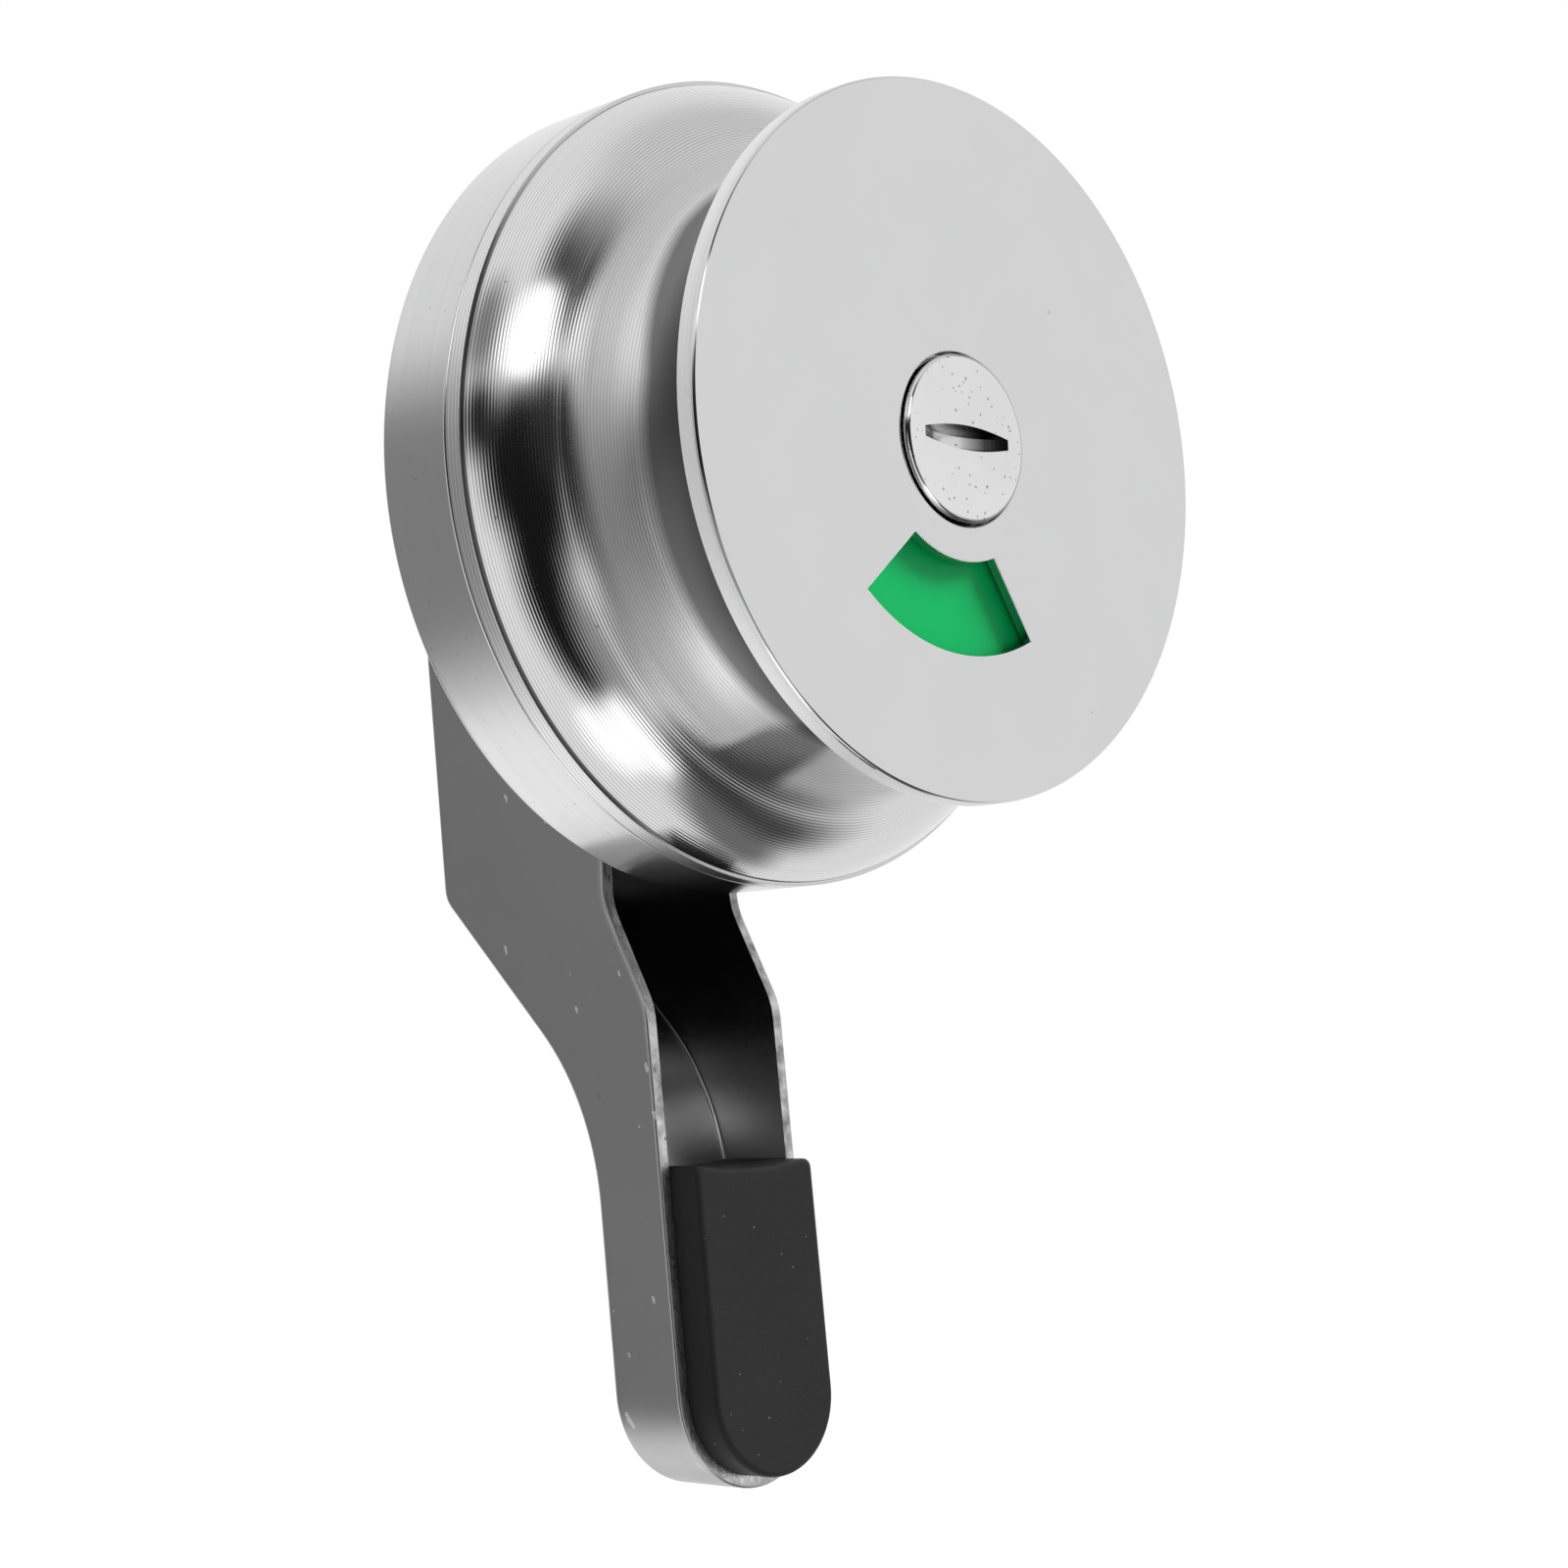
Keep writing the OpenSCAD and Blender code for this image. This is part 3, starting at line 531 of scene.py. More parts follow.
def spin(bm, outline, steps=240, closed=True):
    """Spins (radius, y) points in millimetres round the lock axis into bm."""
    turns = [2 * math.pi * k / steps for k in range(steps)]
    loops = [[on_circle(bm, r, y, q) for q in turns] for r, y in outline]
    pairs = list(zip(loops, loops[1:])) + ([(loops[-1], loops[0])] if closed else [])
    for one, two in pairs:
        for k in range(steps):
            bm.faces.new((one[k], two[k], two[k - 1], one[k - 1]))


# %% Piece helpers
WELD, SLIVER = 1e-7, 1e-8


def link_mesh(name, bm, materials):
    mesh = bpy.data.meshes.new(name)
    bm.to_mesh(mesh)
    bm.free()
    for material in materials:
        mesh.materials.append(material)
    thing = bpy.data.objects.new(name, mesh)
    scene.collection.objects.link(thing)
    return thing


def mark_sharp(bm, degrees):
    for edge in bm.edges:
        edge.smooth = not edge.is_manifold or edge.calc_face_angle() < math.radians(degrees)


def finish_piece(name, bm, body, stands_for, materials, sharp=25):
    bmesh.ops.remove_doubles(bm, verts=bm.verts, dist=WELD)
    bmesh.ops.dissolve_degenerate(bm, edges=bm.edges, dist=SLIVER)
    bmesh.ops.recalc_face_normals(bm, faces=bm.faces)
    mark_sharp(bm, sharp)
    for face in bm.faces:
        face.smooth = True
    piece = link_mesh(name, bm, materials)
    piece.modifiers.new("flat_faces_stay_flat", "WEIGHTED_NORMAL").keep_sharp = True
    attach(piece, body)
    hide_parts(stands_for)
    print(name, "has", len(piece.data.polygons), "faces and rides on", body)
    return piece


# %% [markdown]
# ## The knob's body
# The knob is turned from bar. From the flange's edge its side bends over in a round shoulder and
# then hollows into the neck, so that fingertips find a hold behind the face. The two bends are
# arcs that meet on one tangent. The shoulder starts at 20 degrees from the axis and its radius is
# 0.76 of the hollow's, and that fixes both arcs. They are sampled finely, because polished metal
# shows every facet in its reflections.

# %% Knob side
FACE_FRONT, FACE_BACK = -21.4, -19.7
FLANGE_R, NECK_R, EDGE_W = 32.25, 20.5, 1.6
LEAD, RATIO = math.radians(20), 0.76
top_r, neck_y = FLANGE_R - 0.25, FACE_BACK + 1.8
run = -neck_y - EDGE_W
rate = (top_r - NECK_R) / run
tilt = RATIO * math.cos(LEAD) + 1 + rate * RATIO * math.sin(LEAD)
tilt /= (RATIO + 1) * math.hypot(1, rate)
steepest = math.atan(rate) + math.acos(tilt)
hollow_r = run / (RATIO * (math.sin(steepest) - math.sin(LEAD)) + math.sin(steepest))
shoulder_r = RATIO * hollow_r
shoulder_centre = np.array((top_r - shoulder_r * math.cos(LEAD),
                            shoulder_r * math.sin(LEAD) - EDGE_W))
hollow_centre = np.array((NECK_R + hollow_r, neck_y))
shoulder = [shoulder_centre + shoulder_r * np.array((math.cos(q), -math.sin(q)))
            for q in np.linspace(LEAD, steepest, 48)]
hollow = [hollow_centre + hollow_r * np.array((-math.cos(q), math.sin(q)))
          for q in np.linspace(steepest, 0, 72)[1:]]
print("steepest slope of the side:", round(math.degrees(steepest), 1), "degrees")

# %% Knob body
SPIGOT_BORE, CORE_BORE, CORE_SEAT = 18.82, 23.25, -7.5
RING_GROOVE, RING_FROM, RING_TO = 24.35, -1.8, -0.6
MOUTH = 23.35
inside = [(NECK_R, FACE_BACK), (SPIGOT_BORE, FACE_BACK), (SPIGOT_BORE, CORE_SEAT),
          (CORE_BORE, CORE_SEAT), (CORE_BORE, RING_FROM), (RING_GROOVE, RING_FROM),
          (RING_GROOVE, RING_TO), (CORE_BORE, RING_TO), (CORE_BORE, -0.1), (MOUTH, 0.0)]
edge = rounded([(MOUTH, 0, 0), (FLANGE_R, 0, 0.2), (FLANGE_R, -EDGE_W, 0.08),
                (top_r, -EDGE_W, 0)])
bm = bmesh.new()
spin(bm, [*edge[1:-1], (top_r + 0.05, -EDGE_W), *shoulder, *hollow, *inside])
finish_piece("knob_turned", bm, "knob", "knob_body", [turned_steel])

# %% [markdown]
# ## The face disc
# A flat disc closes the knob in front. It has a round hole for the spindle's head and a window,
# which is a piece of a ring between two slanting sides. A boolean cut would do, but a grid of
# rings and spokes that simply leaves out the window's cells keeps all edges clean, when the spokes
# bend so that two of them run along the window's sides. The grid gets its thickness by extruding,
# thin in the middle and thick at the rim. Its front edges get a tiny bevel that catches a line of
# light. The bevels of the cuts and the disc's outer side have the matt finish of the rim.

# %% Window and spokes
FACE_R, HOLE_R, RECESS_R, THIN_BACK = 27.5, 6.65, 17.7, -20.55
WINDOW_R, WINDOW_APEX, WINDOW_TURN = (9.3, 16.4), 3.1, math.radians(8)
WINDOW_SIDE = math.radians(81 / 2)
IN_WINDOW, ROUND_IT = 48, 208


def spoke_angles(r):
    """Angles of the spokes on the ring of radius r, with the window's cells first."""
    near = min(max(r, WINDOW_R[0]), WINDOW_R[1])
    half = WINDOW_SIDE - math.asin(WINDOW_APEX * math.sin(WINDOW_SIDE) / near)
    angles = np.concatenate((np.linspace(-half, half, IN_WINDOW + 1)[:-1],
                             np.linspace(half, 2 * math.pi - half, ROUND_IT + 1)[:-1]))
    return angles - WINDOW_TURN


print("window half angle:", [round(math.degrees(spoke_angles(r)[IN_WINDOW] + WINDOW_TURN), 1)
                             for r in WINDOW_R])

# %% Face grid
ring_radii = [HOLE_R, 7.9, *np.linspace(*WINDOW_R, 9), RECESS_R - 0.01, RECESS_R + 0.01,
              22.0, 25.0, FACE_R]
bm = bmesh.new()
spots = []
for r in ring_radii:
    back = THIN_BACK if r < RECESS_R else FACE_BACK
    spots.append([on_circle(bm, r, back, q) for q in spoke_angles(r)])
for i in range(len(ring_radii) - 1):
    in_ring = WINDOW_R[0] <= ring_radii[i] < WINDOW_R[1] - 0.01
    for k in range(IN_WINDOW + ROUND_IT):
        if not (in_ring and k < IN_WINDOW):
            after = (k + 1) % (IN_WINDOW + ROUND_IT)
            bm.faces.new((spots[i][k], spots[i][after], spots[i + 1][after], spots[i + 1][k]))
front = bmesh.ops.extrude_face_region(bm, geom=bm.faces[:])
for corner in front["geom"]:
    if isinstance(corner, bmesh.types.BMVert):
        corner.co.y = FACE_FRONT * MM
bmesh.ops.recalc_face_normals(bm, faces=bm.faces)
print("cells of the face:", len(bm.faces))

# %% Face edges
AT_FRONT, CORNER_ANGLE = 1e-6, 1.0


def front_edges(bm, test):
    found = []
    for e in bm.edges:
        level = all(abs(v.co.y - FACE_FRONT * MM) < AT_FRONT for v in e.verts)
        if level and e.is_manifold and e.calc_face_angle() > CORNER_ANGLE:
            if test(max(v.co.xz.length for v in e.verts) / MM):
                found.append(e)
    return found


MATT = 1
SPIGOT_R, SPIGOT_END = 18.8, -17.9
rim = front_edges(bm, lambda r: r > FACE_R - 0.01)
bmesh.ops.bevel(bm, geom=rim, offset=0.3 * MM, segments=4, profile=0.5, affect="EDGES")
cuts = front_edges(bm, lambda r: r < WINDOW_R[1] + 0.01)
bmesh.ops.bevel(bm, geom=cuts, offset=0.1 * MM, segments=2, profile=0.5, affect="EDGES",
                material=MATT)
spin(bm, [(RECESS_R, FACE_BACK), (SPIGOT_R, FACE_BACK), (SPIGOT_R, SPIGOT_END),
          (RECESS_R, SPIGOT_END)])
for side in bm.faces:
    side.normal_update()
    at_rim = side.calc_center_median().xz.length > (FACE_R - 0.1) * MM
    if at_rim and abs(side.normal.y) < 0.1:
        side.material_index = MATT
finish_piece("face_polished", bm, "knob", "face_plate",
             [polished_steel, rim_steel], sharp=12)

# %% [markdown]
# ## The spindle
# The spindle's head shows in the middle of the face. A coin fits its slot, so that staff can open
# the door from outside. The slot was cut by a small wheel with a narrow flat rim and slanting
# sides, which leaves a boat-like groove with blunt ends. The same is done here: such a wheel with
# its axis upright is taken away from the turned head. The square tail that turns the lever is
# added after the cut.

# %% Spindle head
HEAD_FRONT, HEAD_R, COLLAR_R, SHAFT_R, SHAFT_END = -22.0, 6.45, 7.6, 4.0, 0.15
head = rounded([(0, HEAD_FRONT, 0), (HEAD_R, HEAD_FRONT, 0.35), (HEAD_R, -20.4, 0.05),
                (COLLAR_R, -20.4, 0.1), (COLLAR_R, -19.8, 0.1), (5.5, -19.8, 0),
                (5.5, -17.25, 0.1), (SHAFT_R, -17.25, 0), (SHAFT_R, SHAFT_END, 0.2),
                (0, SHAFT_END, 0)])
bm = bmesh.new()
spin(bm, head[1:-1], steps=160, closed=False)
bmesh.ops.holes_fill(bm, edges=bm.edges[:], sides=0)
spindle = finish_piece("spindle_turned", bm, "spindle", "coin_spindle",
                       [spindle_chrome])

# %% Slot wheel
SLOT_LENGTH, SLOT_DEPTH, SLOT_W, SLOT_FLAT = 9.3, 1.5, 1.9, 0.8
WHEEL_STEPS = 160
wheel_r = (SLOT_LENGTH ** 2 / 4 + SLOT_DEPTH ** 2) / (2 * SLOT_DEPTH)
wheel_tip = SLOT_FLAT / 2 + (SLOT_W - SLOT_FLAT) / 2 * wheel_r / SLOT_DEPTH
turns = 2 * math.pi / WHEEL_STEPS * (np.arange(WHEEL_STEPS) + 0.5)
circle = [(math.cos(q) * wheel_r * MM, math.sin(q) * wheel_r * MM) for q in turns]
bm = bmesh.new()
low_ring, high_ring = [[bm.verts.new((x, y, z * MM)) for x, y in circle]
                       for z in (-SLOT_FLAT / 2, SLOT_FLAT / 2)]
low_tip, high_tip = [bm.verts.new((0, 0, z * MM)) for z in (-wheel_tip, wheel_tip)]
for k in range(WHEEL_STEPS):
    bm.faces.new((low_ring[k - 1], low_ring[k], high_ring[k], high_ring[k - 1]))
    bm.faces.new((low_tip, low_ring[k], low_ring[k - 1]))
    bm.faces.new((high_tip, high_ring[k - 1], high_ring[k]))
bmesh.ops.recalc_face_normals(bm, faces=bm.faces)
wheel = link_mesh("slot_wheel", bm, [slot_chrome])
wheel.location = (0, (HEAD_FRONT + SLOT_DEPTH - wheel_r) * MM, 0)
print("slot wheel radius", round(wheel_r, 2), "mm")

# %% Cut the slot
cut = spindle.modifiers.new("coin_slot", "BOOLEAN")
cut.object, cut.solver, cut.material_mode = wheel, "EXACT", "TRANSFER"
spindle.modifiers.move(1, 0)
bpy.context.view_layer.update()
seen = spindle.evaluated_get(bpy.context.evaluated_depsgraph_get())
slotted = bpy.data.meshes.new_from_object(seen)
spindle.modifiers.clear()
spindle.data = slotted
bpy.data.objects.remove(wheel)
print("faces with the slot:", len(slotted.polygons))

# %% Square tail
TAIL_HALF, TAIL_FROM, TAIL_LENGTH = 2.75, -0.4, 25.4
bm = bmesh.new()
bm.from_mesh(slotted)
for sign_x, sign_z in ((1, 1), (1, -1), (-1, -1), (-1, 1)):
    bm.verts.new((TAIL_HALF * sign_x * MM, TAIL_FROM * MM, TAIL_HALF * sign_z * MM))
bm.verts.ensure_lookup_table()
square = bm.faces.new(bm.verts[-4:])
tail = bmesh.ops.extrude_face_region(bm, geom=[square])
ends = [v for v in tail["geom"] if isinstance(v, bmesh.types.BMVert)]
bmesh.ops.translate(bm, verts=ends, vec=(0, TAIL_LENGTH * MM, 0))
bmesh.ops.recalc_face_normals(bm, faces=bm.faces)
mark_sharp(bm, 20)
bm.to_mesh(slotted)
bm.free()
spindle.modifiers.new("flat_faces_stay_flat", "WEIGHTED_NORMAL").keep_sharp = True
print("spindle faces:", len(slotted.polygons))

# %% [markdown]
# ## The rosette
# The rosette is a shallow steel cup that covers the plastic base on the inside of the door. Its
# edge is drawn over a small radius at the back. Spinning its section gives wall and floor in one
# go.

# %% Rosette cover
CUP_IN, CUP_DEPTH, CUP_FLOOR, HUB_HOLE = 31.25, 7.8, 6.8, 7.57
cup = rounded([(CUP_IN, 0, 0), (FLANGE_R, 0, 0.2), (FLANGE_R, CUP_DEPTH, 0.8),
               (HUB_HOLE, CUP_DEPTH, 0), (HUB_HOLE, CUP_FLOOR, 0), (CUP_IN, CUP_FLOOR, 0.2),
               (CUP_IN, 0, 0)])
bm = bmesh.new()
spin(bm, cup[:-1])
finish_piece("rosette_drawn", bm, "rosette", "rosette_cover", [satin_steel])

# %% [markdown]
# ## The lever
# The lever is pressed from one sheet: a channel with round ends, deep behind the rosette and
# shallow at the tip, where it stands nearer to the door. Seen from the side its front edge and its
# back are two lines with soft bends. So each row of the mesh is one bent strip: down one wall,
# round the bend, across the back and up the other wall. The rows follow the round ends too, and
# the inner skin is the same thing 1 mm smaller. The outer skin's front edges are worn round, and
# outside, inside and sheared edge each have their own finish.

# %% Lever side lines
SHEET, HALF_W, TOP, TIP = 1.0, 7.5, 11.5, -79.3
LEAN_ANGLE = math.radians(4.5)
LEAN, SLOPE = math.tan(LEAN_ANGLE), math.tan(math.radians(46))
BOX_FRONT, BOX_BACK, BOX_LOW, SEAT_LOW = 12.3, 33.2, -31.2, -9.0
LEG_FRONT, LEG_TOP, LEG_DEPTH, BOX_FRONT_LOW = 7.7, -41.2, 8.0, -32.8
PAST_ENDS, BEND_STEPS = 2, 24


def leg_front(z):
    return LEG_FRONT + LEAN * (z - LEG_TOP)


leg_thick = LEG_DEPTH / math.cos(LEAN_ANGLE)
run_back = (BOX_BACK - leg_front(BOX_LOW) - leg_thick) / (1 - LEAN / SLOPE)
seat_back = BOX_BACK + LEAN * (SEAT_LOW - BOX_LOW)
below, above = TIP - PAST_ENDS, TOP + PAST_ENDS
front_line = rounded([(leg_front(below), below, 0), (LEG_FRONT, LEG_TOP, 6),
                      (BOX_FRONT, BOX_FRONT_LOW, 6), (BOX_FRONT, above, 0)], BEND_STEPS)
back_line = rounded([(leg_front(below) + leg_thick, below, 0),
                     (BOX_BACK - run_back, BOX_LOW - run_back / SLOPE, 22),
                     (BOX_BACK, BOX_LOW, 2.2), (seat_back, SEAT_LOW, 22),
                     (seat_back, above, 0)], BEND_STEPS)
steps = np.gradient(back_line, axis=0)
inward = np.stack((-steps[:, 1], steps[:, 0]), axis=1) / np.linalg.norm(steps, axis=1)[:, None]
inner_line = back_line + SHEET * inward


def line_y(line, z):
    return float(np.interp(z, line[:, 1], line[:, 0]))


print("back of the lever at the axis:", line_y(back_line, 0),
      "inside:", round(line_y(inner_line, 0), 2))

# %% Lever rows
END_TOP, END_TIP = TOP - HALF_W, TIP + HALF_W
stations = [(END_TOP, math.radians(a)) for a in np.linspace(90, 0, 25)]
stations += [(z, 0.0) for z in np.linspace(END_TOP, END_TIP, 130)[1:-1]]
stations += [(END_TIP, math.radians(-a)) for a in np.linspace(0, 90, 25)]


def strip(bm, centre, angle, shrink, line, bend_r, worn=0.0):
    """One row across the channel: left wall, bend, back, bend, right wall. The front edges are
    rounded by worn."""
    def at(d):
        reach = HALF_W - shrink - d
        return reach * math.cos(angle), centre + reach * math.sin(angle)

    half = []
    for q in np.linspace(0, math.pi / 2, 4 if worn else 1):
        x, z = at(worn * (1 - math.sin(q)))
        half.append((x, line_y(front_line, z) + worn * (1 - math.cos(q)), z))
    x, z = at(0)
    low, high = line_y(front_line, z), line_y(line, z) - bend_r
    half += [(x, low + part * (high - low), z) for part in (0.04, 0.35, 0.7, 0.96, 1.0)]
    for q in np.linspace(0, math.pi / 2, 7)[1:]:
        x, z = at(bend_r * (1 - math.cos(q)))
        half.append((x, line_y(line, z) - bend_r * (1 - math.sin(q)), z))
    x, y, z = half[-1]
    across = [(x * f, y, z) for f in (0.6, 0.2, -0.2, -0.6)]
    mirrored = [(-a, b, c) for a, b, c in reversed(half)]
    return [bm.verts.new((a * MM, b * MM, c * MM)) for a, b, c in half + across + mirrored]


print("rows of the lever:", len(stations))

# %% Lever mesh
OUTSIDE, SHEARED, INSIDE = 0, 1, 2
bm = bmesh.new()
outer = [strip(bm, c, a, 0.0, back_line, 1.1, worn=0.2) for c, a in stations]
inner = [strip(bm, c, a, SHEET, inner_line, 0.3) for c, a in stations]
for skin, finish in ((outer, OUTSIDE), (inner, INSIDE)):
    for one, two in zip(skin, skin[1:]):
        for k in range(len(one) - 1):
            patch = bm.faces.new((one[k], one[k + 1], two[k + 1], two[k]))
            patch.material_index = finish
for i in range(len(stations) - 1):
    for k in (0, -1):
        patch = bm.faces.new((outer[i][k], outer[i + 1][k], inner[i + 1][k], inner[i][k]))
        patch.material_index = SHEARED
finish_piece("lever_pressed", bm, "lever", "lever",
             [lever_steel, sheared_edge, lever_inside], sharp=35)

# %% [markdown]
# ## The rubber pad
# The pad is moulded rubber, pushed into the channel's end. It stands 3 mm out of the steel, with a
# flat face and soft edges, and meets the cubicle's panel when the lock is shut. Its free top edge
# sags a little in the middle. Its outline is drawn once, and then copied as rings: straight for
# the sides, and smaller and further out ring by ring for the rounded edge.

# %% Pad outline
PAD_TOP, PAD_W, SOFT, SAG = -53.8, 6.48, 0.55, 0.45
PAD_PROUD = 3.05 / math.cos(LEAN_ANGLE)


def pad_ring(shrink):
    reach = PAD_W - shrink
    top = PAD_TOP - shrink
    corner = max(0.6 - 0.3 * shrink, 0.2)
    flat = reach - corner

    def corner_points(side, start, end):
        return [(corner * math.cos(a) + side * flat, top - corner + corner * math.sin(a))
                for a in np.linspace(start, end, 9)]

    points = [(reach * math.cos(a), END_TIP + reach * math.sin(a))
              for a in np.linspace(0, -math.pi, 49)]
    points += corner_points(-1, math.pi, math.pi / 2)
    points += [(x, top - SAG * (1 - (x / flat) ** 2)) for x in np.linspace(-flat, flat, 17)[1:-1]]
    points += corner_points(1, math.pi / 2, 0)
    return points


def pad_loop(bm, shrink, depth):
    return [bm.verts.new((x * MM, depth(z) * MM, z * MM)) for x, z in pad_ring(shrink)]


def pad_face(z):
    return leg_front(z) - PAD_PROUD


print("corners in the pad's outline:", len(pad_ring(0.0)))

# %% Rubber pad
bm = bmesh.new()
loops = [pad_loop(bm, 0.3, lambda z: line_y(inner_line, z) - 0.02),
         pad_loop(bm, 0.0, lambda z: line_y(inner_line, z) - 0.5),
         pad_loop(bm, 0.0, lambda z: leg_front(z) + 0.3)]
for q in np.linspace(0, math.pi / 2, 9):
    rise = SOFT * (1 - math.sin(q))
    loops.append(pad_loop(bm, SOFT * (1 - math.cos(q)), lambda z: pad_face(z) + rise))
for one, two in zip(loops, loops[1:]):
    for k in range(len(one)):
        bm.faces.new((one[k - 1], one[k], two[k], two[k - 1]))
bm.faces.new(loops[0])
bm.faces.new(loops[-1])
finish_piece("pad_moulded", bm, "lever", "rubber_pad", [pad_rubber], sharp=50)

# %% [markdown]
# ## The pieces that stay as they are
# Screws, washers, clips, bushes and the inner mouldings have the right shape already. They keep
# their solids and only change their plain material for the finish that belongs to their slot.

# %% Finishes of the small pieces
finishes = {m.name: m for m in bpy.data.materials}
replaced = {"knob_body", "face_plate", "coin_spindle", "rosette_cover", "lever", "rubber_pad"}
kept = 0
for entry in frame["record"]["subparts"]:
    node = frame["nodes"][entry["node"]]
    if entry["node"] not in replaced:
        node.data.materials.clear()
        node.data.materials.append(finishes[entry["material_slot"]])
        kept += 1
print("small pieces with their finish:", kept)

# %% [markdown]
# ## Light
# The lock stands in a white studio. Metal shows its surroundings, so the light is built in two
# layers. The plain layer lights everything that scatters: an even white world and two soft boxes.
# The second layer is what the metal mirrors: a tent of white cloth with some grey and black cards
# and two bright windows, as a photographer sets up round a shiny thing.

# %% White surroundings
world = bpy.data.worlds.new("white_studio")
scene.world = world
world.use_nodes = True
tree = world.node_tree
room = tree.nodes["Background"]
room.inputs["Color"].default_value = (1.0, 1.0, 1.0, 1.0)
ROOM_LIGHT, BACKDROP = 0.22, 1.0
path = add(tree, "ShaderNodeLightPath")
strength = spread(tree, path.outputs["Is Camera Ray"], 0.0, 1.0, ROOM_LIGHT, BACKDROP)
tree.links.new(strength, room.inputs["Strength"])
print("world:", world.name)


# %% Soft boxes
def toward(azimuth, elevation):
    """A direction: azimuth from the front (-Y) to the right (+X), elevation up, in degrees."""
    a, e = math.radians(azimuth), math.radians(elevation)
    return Vector((math.sin(a) * math.cos(e), -math.cos(a) * math.cos(e), math.sin(e)))


def soft_box(name, direction, distance, size, watts):
    lamp = bpy.data.lights.new(name, "AREA")
    lamp.shape, lamp.size, lamp.size_y = "RECTANGLE", size[0], size[1]
    lamp.energy = watts
    box = bpy.data.objects.new(name, lamp)
    box.location = direction * distance
    box.rotation_euler = (-direction).to_track_quat("-Z", "Y").to_euler()
    box.visible_glossy = False
    scene.collection.objects.link(box)
    print(name, "at", [round(c, 3) for c in box.location])


soft_box("key_box", toward(55, 35), distance=0.5, size=(0.25, 0.2), watts=3.4)
soft_box("fill_box", toward(-30, -20), distance=0.5, size=(0.2, 0.2), watts=0.3)

# %% [markdown]
# The cards of the tent are soft ovals. A group takes the direction from the lock to a point of the
# tent, measures the two angles between it and the middle of the card, and gives one inside the
# oval and nothing outside.

# %% Card group
card, given, result = open_group(
    "card",
    [("Vector", VECTOR, None), ("Middle", VECTOR, (0, -1, 0)), ("Across", VECTOR, (1, 0, 0)),
     ("Upward", VECTOR, (0, 0, 1)), ("Half width", FLOAT, 0.3), ("Half height", FLOAT, 0.3),
     ("Softness", FLOAT, 0.3)],
    [("Mask", FLOAT)],
)


def share(label):
    """How far the direction points along one of the card's own three directions."""
    straight = add(card, "ShaderNodeVectorMath", operation="NORMALIZE")
    dot = add(card, "ShaderNodeVectorMath", operation="DOT_PRODUCT")
    card.links.new(given.outputs["Vector"], straight.inputs[0])
    card.links.new(straight.outputs["Vector"], dot.inputs[0])
    card.links.new(given.outputs[label], dot.inputs[1])
    return dot.outputs["Value"]


sideways = math_node(card, "ARCTAN2", share("Across"), share("Middle"))
sideways = math_node(card, "DIVIDE", sideways, given.outputs["Half width"])
upwards = math_node(card, "ARCSINE", share("Upward"))
upwards = math_node(card, "DIVIDE", upwards, given.outputs["Half height"])
squares = math_node(card, "ADD", times(card, sideways, sideways), times(card, upwards, upwards))
softness = given.outputs["Softness"]
fade = add(card, "ShaderNodeMapRange", {"To Min": 1.0, "To Max": 0.0},
           interpolation_type="SMOOTHSTEP")
card.links.new(math_node(card, "SQRT", squares), fade.inputs["Value"])
card.links.new(math_node(card, "SUBTRACT", 1.0, softness), fade.inputs["From Min"])
card.links.new(math_node(card, "ADD", 1.0, softness), fade.inputs["From Max"])
card.links.new(fade.outputs["Result"], result.inputs["Mask"])
print("nodes in the card group:", len(card.nodes))

# %% [markdown]
# The cards are laid over the white cloth in the order of the list, so a later one covers an
# earlier one. The dark cloth is one big shape made of several ovals, and the lower window is made
# of two. Only mirrored light sees the tent, and the soft boxes shine through it.

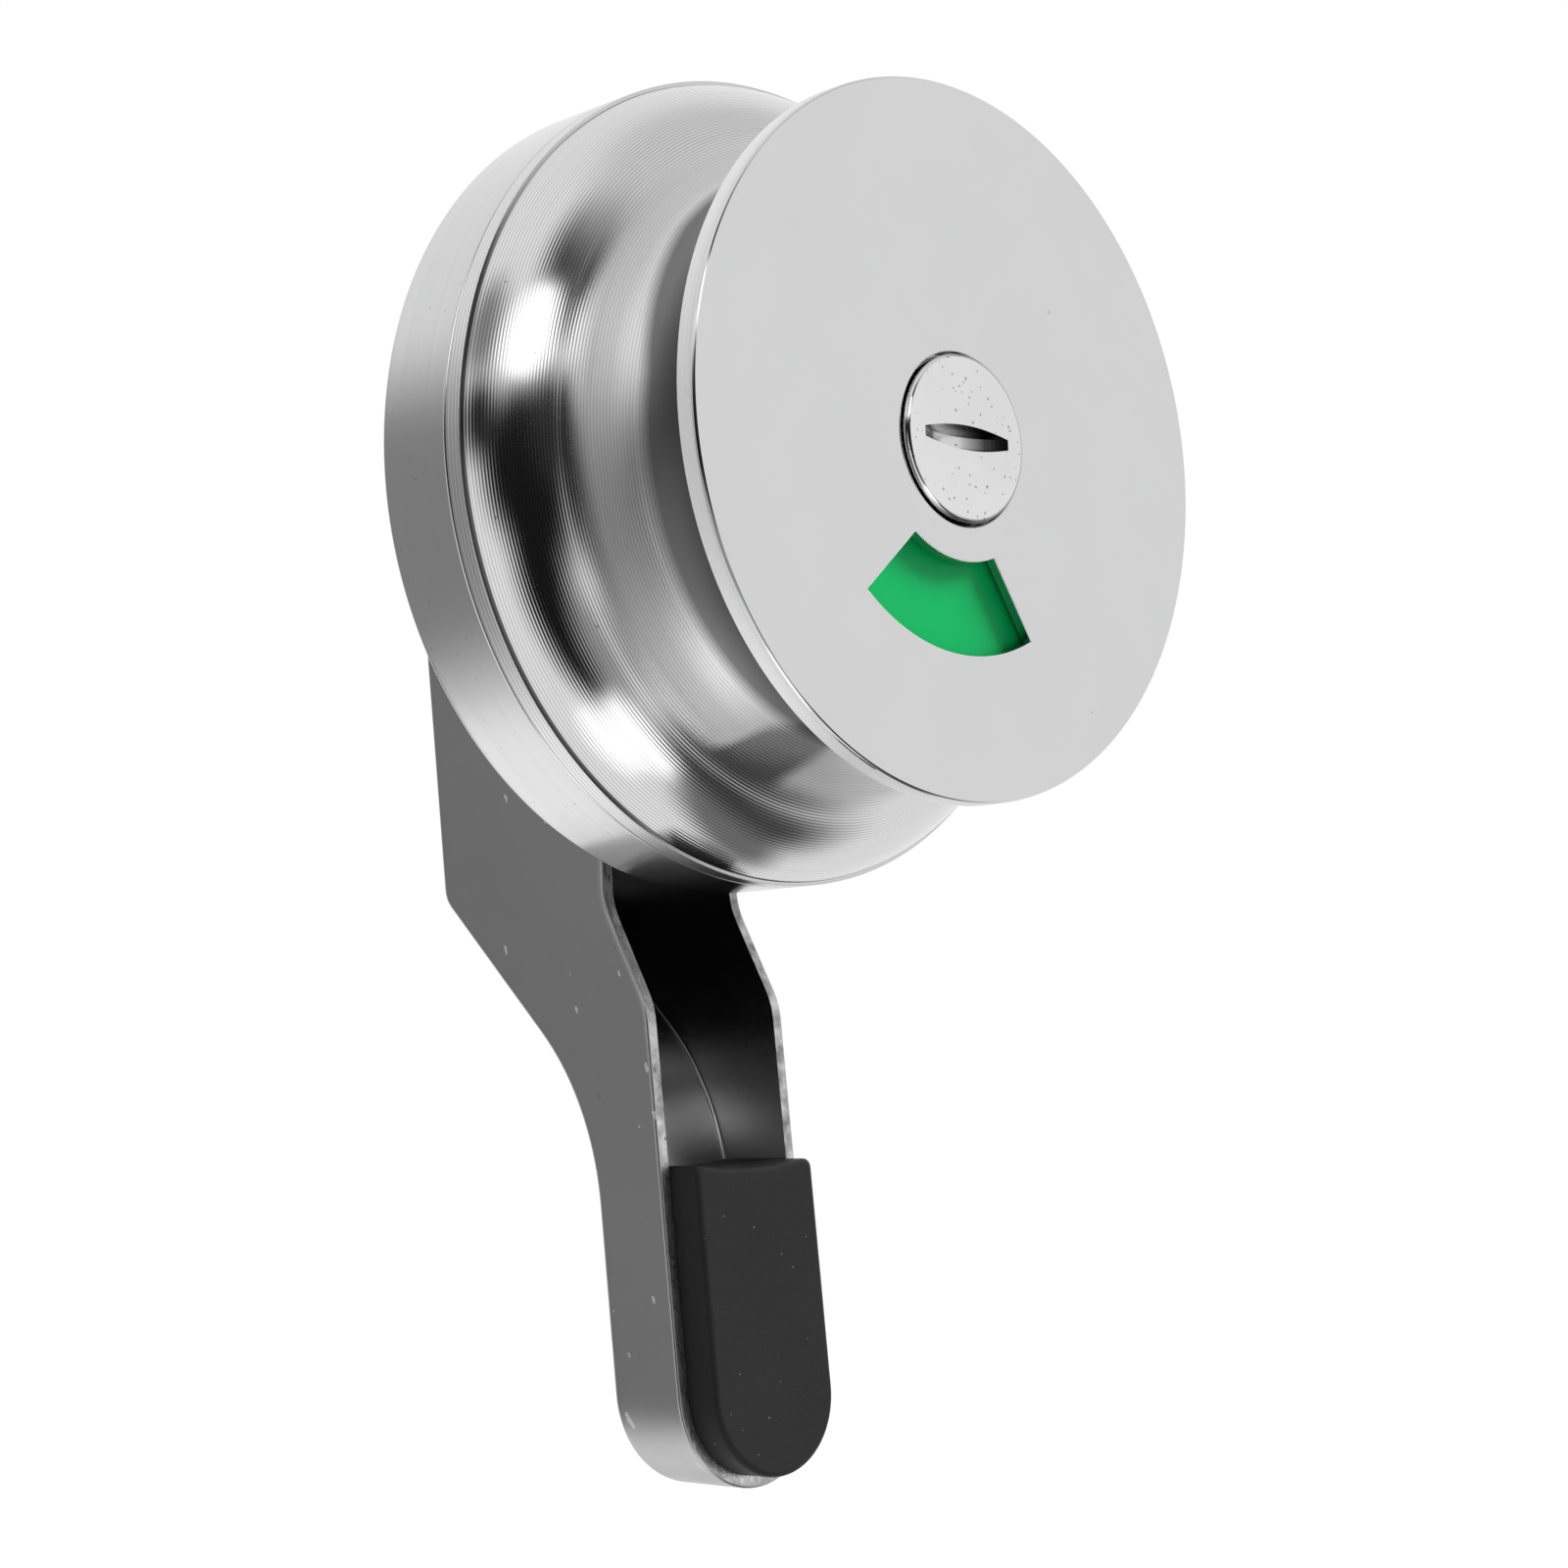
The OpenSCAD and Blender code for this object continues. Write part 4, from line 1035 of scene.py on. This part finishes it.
# %% Cards
CARDS = {  # azimuth, elevation, half width, half height, softness, brightness
    "left_wall": (-152, -3, 36, 27, 0.35, 0.3),
    "low_back": (-176, -42, 16, 10, 0.5, 1.25),
    "dark_cloth": (-45, 3, 38, 20, 0.3, 0.01),
    "dark_cloth_low": (-45, -20, 21, 24, 0.3, 0.01),
    "dark_cloth_foot": (-37, -38, 15, 10, 0.4, 0.01),
    "dark_cloth_side": (-14, -26, 13, 12, 0.5, 0.35),
    "dark_cloth_left": (-84, 15, 16, 10, 0.5, 0.02),
    "dark_cloth_right": (-20, 12, 16, 10, 0.4, 0.03),
    "dark_cloth_high": (-12, 47, 20, 14, 0.45, 0.03),
    "grey_card": (-89, 37, 14, 12, 0.5, 0.28),
    "low_dark": (46, -52, 20, 19, 0.6, 0.08),
    "low_dark_left": (20, -42, 16, 12, 0.5, 0.06),
    "low_dark_right": (62, -67, 26, 9, 0.4, 0.2),
    "top_grey": (40, 62, 28, 20, 0.5, 0.78),
    "dark_cloth_gap": (-8, 33, 9, 8, 0.4, 0.12),
    "upper_window": (-42, 33, 21, 10, 0.2, 2.0),
    "lower_window": (-10, -50, 12, 11, 0.25, 1.8),
    "lower_window_left": (-42, -63, 12, 10, 0.25, 1.8),
}
tent_cloth, tree, shader, coordinates = start_material("tent_cloth")
shader.inputs["Base Color"].default_value = (0.0, 0.0, 0.0, 1.0)
shader.inputs["Specular IOR Level"].default_value = 0.0
shader.inputs["Emission Strength"].default_value = 1.0
glow = grey(1.0)
for azimuth, elevation, width, height, soft, level in CARDS.values():
    middle = toward(azimuth, elevation)
    across = toward(azimuth + 90, 0)
    sockets = {"Middle": middle, "Across": across, "Upward": across.cross(-middle),
               "Half width": math.radians(width), "Half height": math.radians(height),
               "Softness": soft}
    mask = place(tree, card, coordinates, sockets).outputs["Mask"]
    glow = mix_colour(tree, mask, glow, grey(level))
tree.links.new(glow, shader.inputs["Emission Color"])
print("cards in the tent:", len(CARDS))

# %% Tent
TENT_R = 1.2
bm = bmesh.new()
bmesh.ops.create_uvsphere(bm, u_segments=48, v_segments=24, radius=TENT_R)
tent = link_mesh("light_tent", bm, [tent_cloth])
for kind in ("camera", "diffuse", "transmission", "volume_scatter", "shadow"):
    setattr(tent, "visible_" + kind, False)
print("tent radius:", TENT_R, "m")

# %% [markdown]
# The floor lies well below the lock, because the camera looks up at it. It is white to the camera
# and still takes the lock's shadow.

# %% Floor
FLOOR_HALF, FLOOR_Z, FLOOR_GLOW = 2.5, -0.36, 0.9
floor_paint, tree, shader, _ = start_material("floor_paint")
shader.inputs["Base Color"].default_value = (0.9, 0.9, 0.9, 1.0)
shader.inputs["Roughness"].default_value = 0.8
shader.inputs["Emission Color"].default_value = (1.0, 1.0, 1.0, 1.0)
path = add(tree, "ShaderNodeLightPath")
glow = times(tree, path.outputs["Is Camera Ray"], FLOOR_GLOW)
tree.links.new(glow, shader.inputs["Emission Strength"])
bm = bmesh.new()
bmesh.ops.create_grid(bm, x_segments=8, y_segments=8, size=FLOOR_HALF)
floor = link_mesh("studio_floor", bm, [floor_paint])
floor.location.z = FLOOR_Z
floor.visible_glossy = False
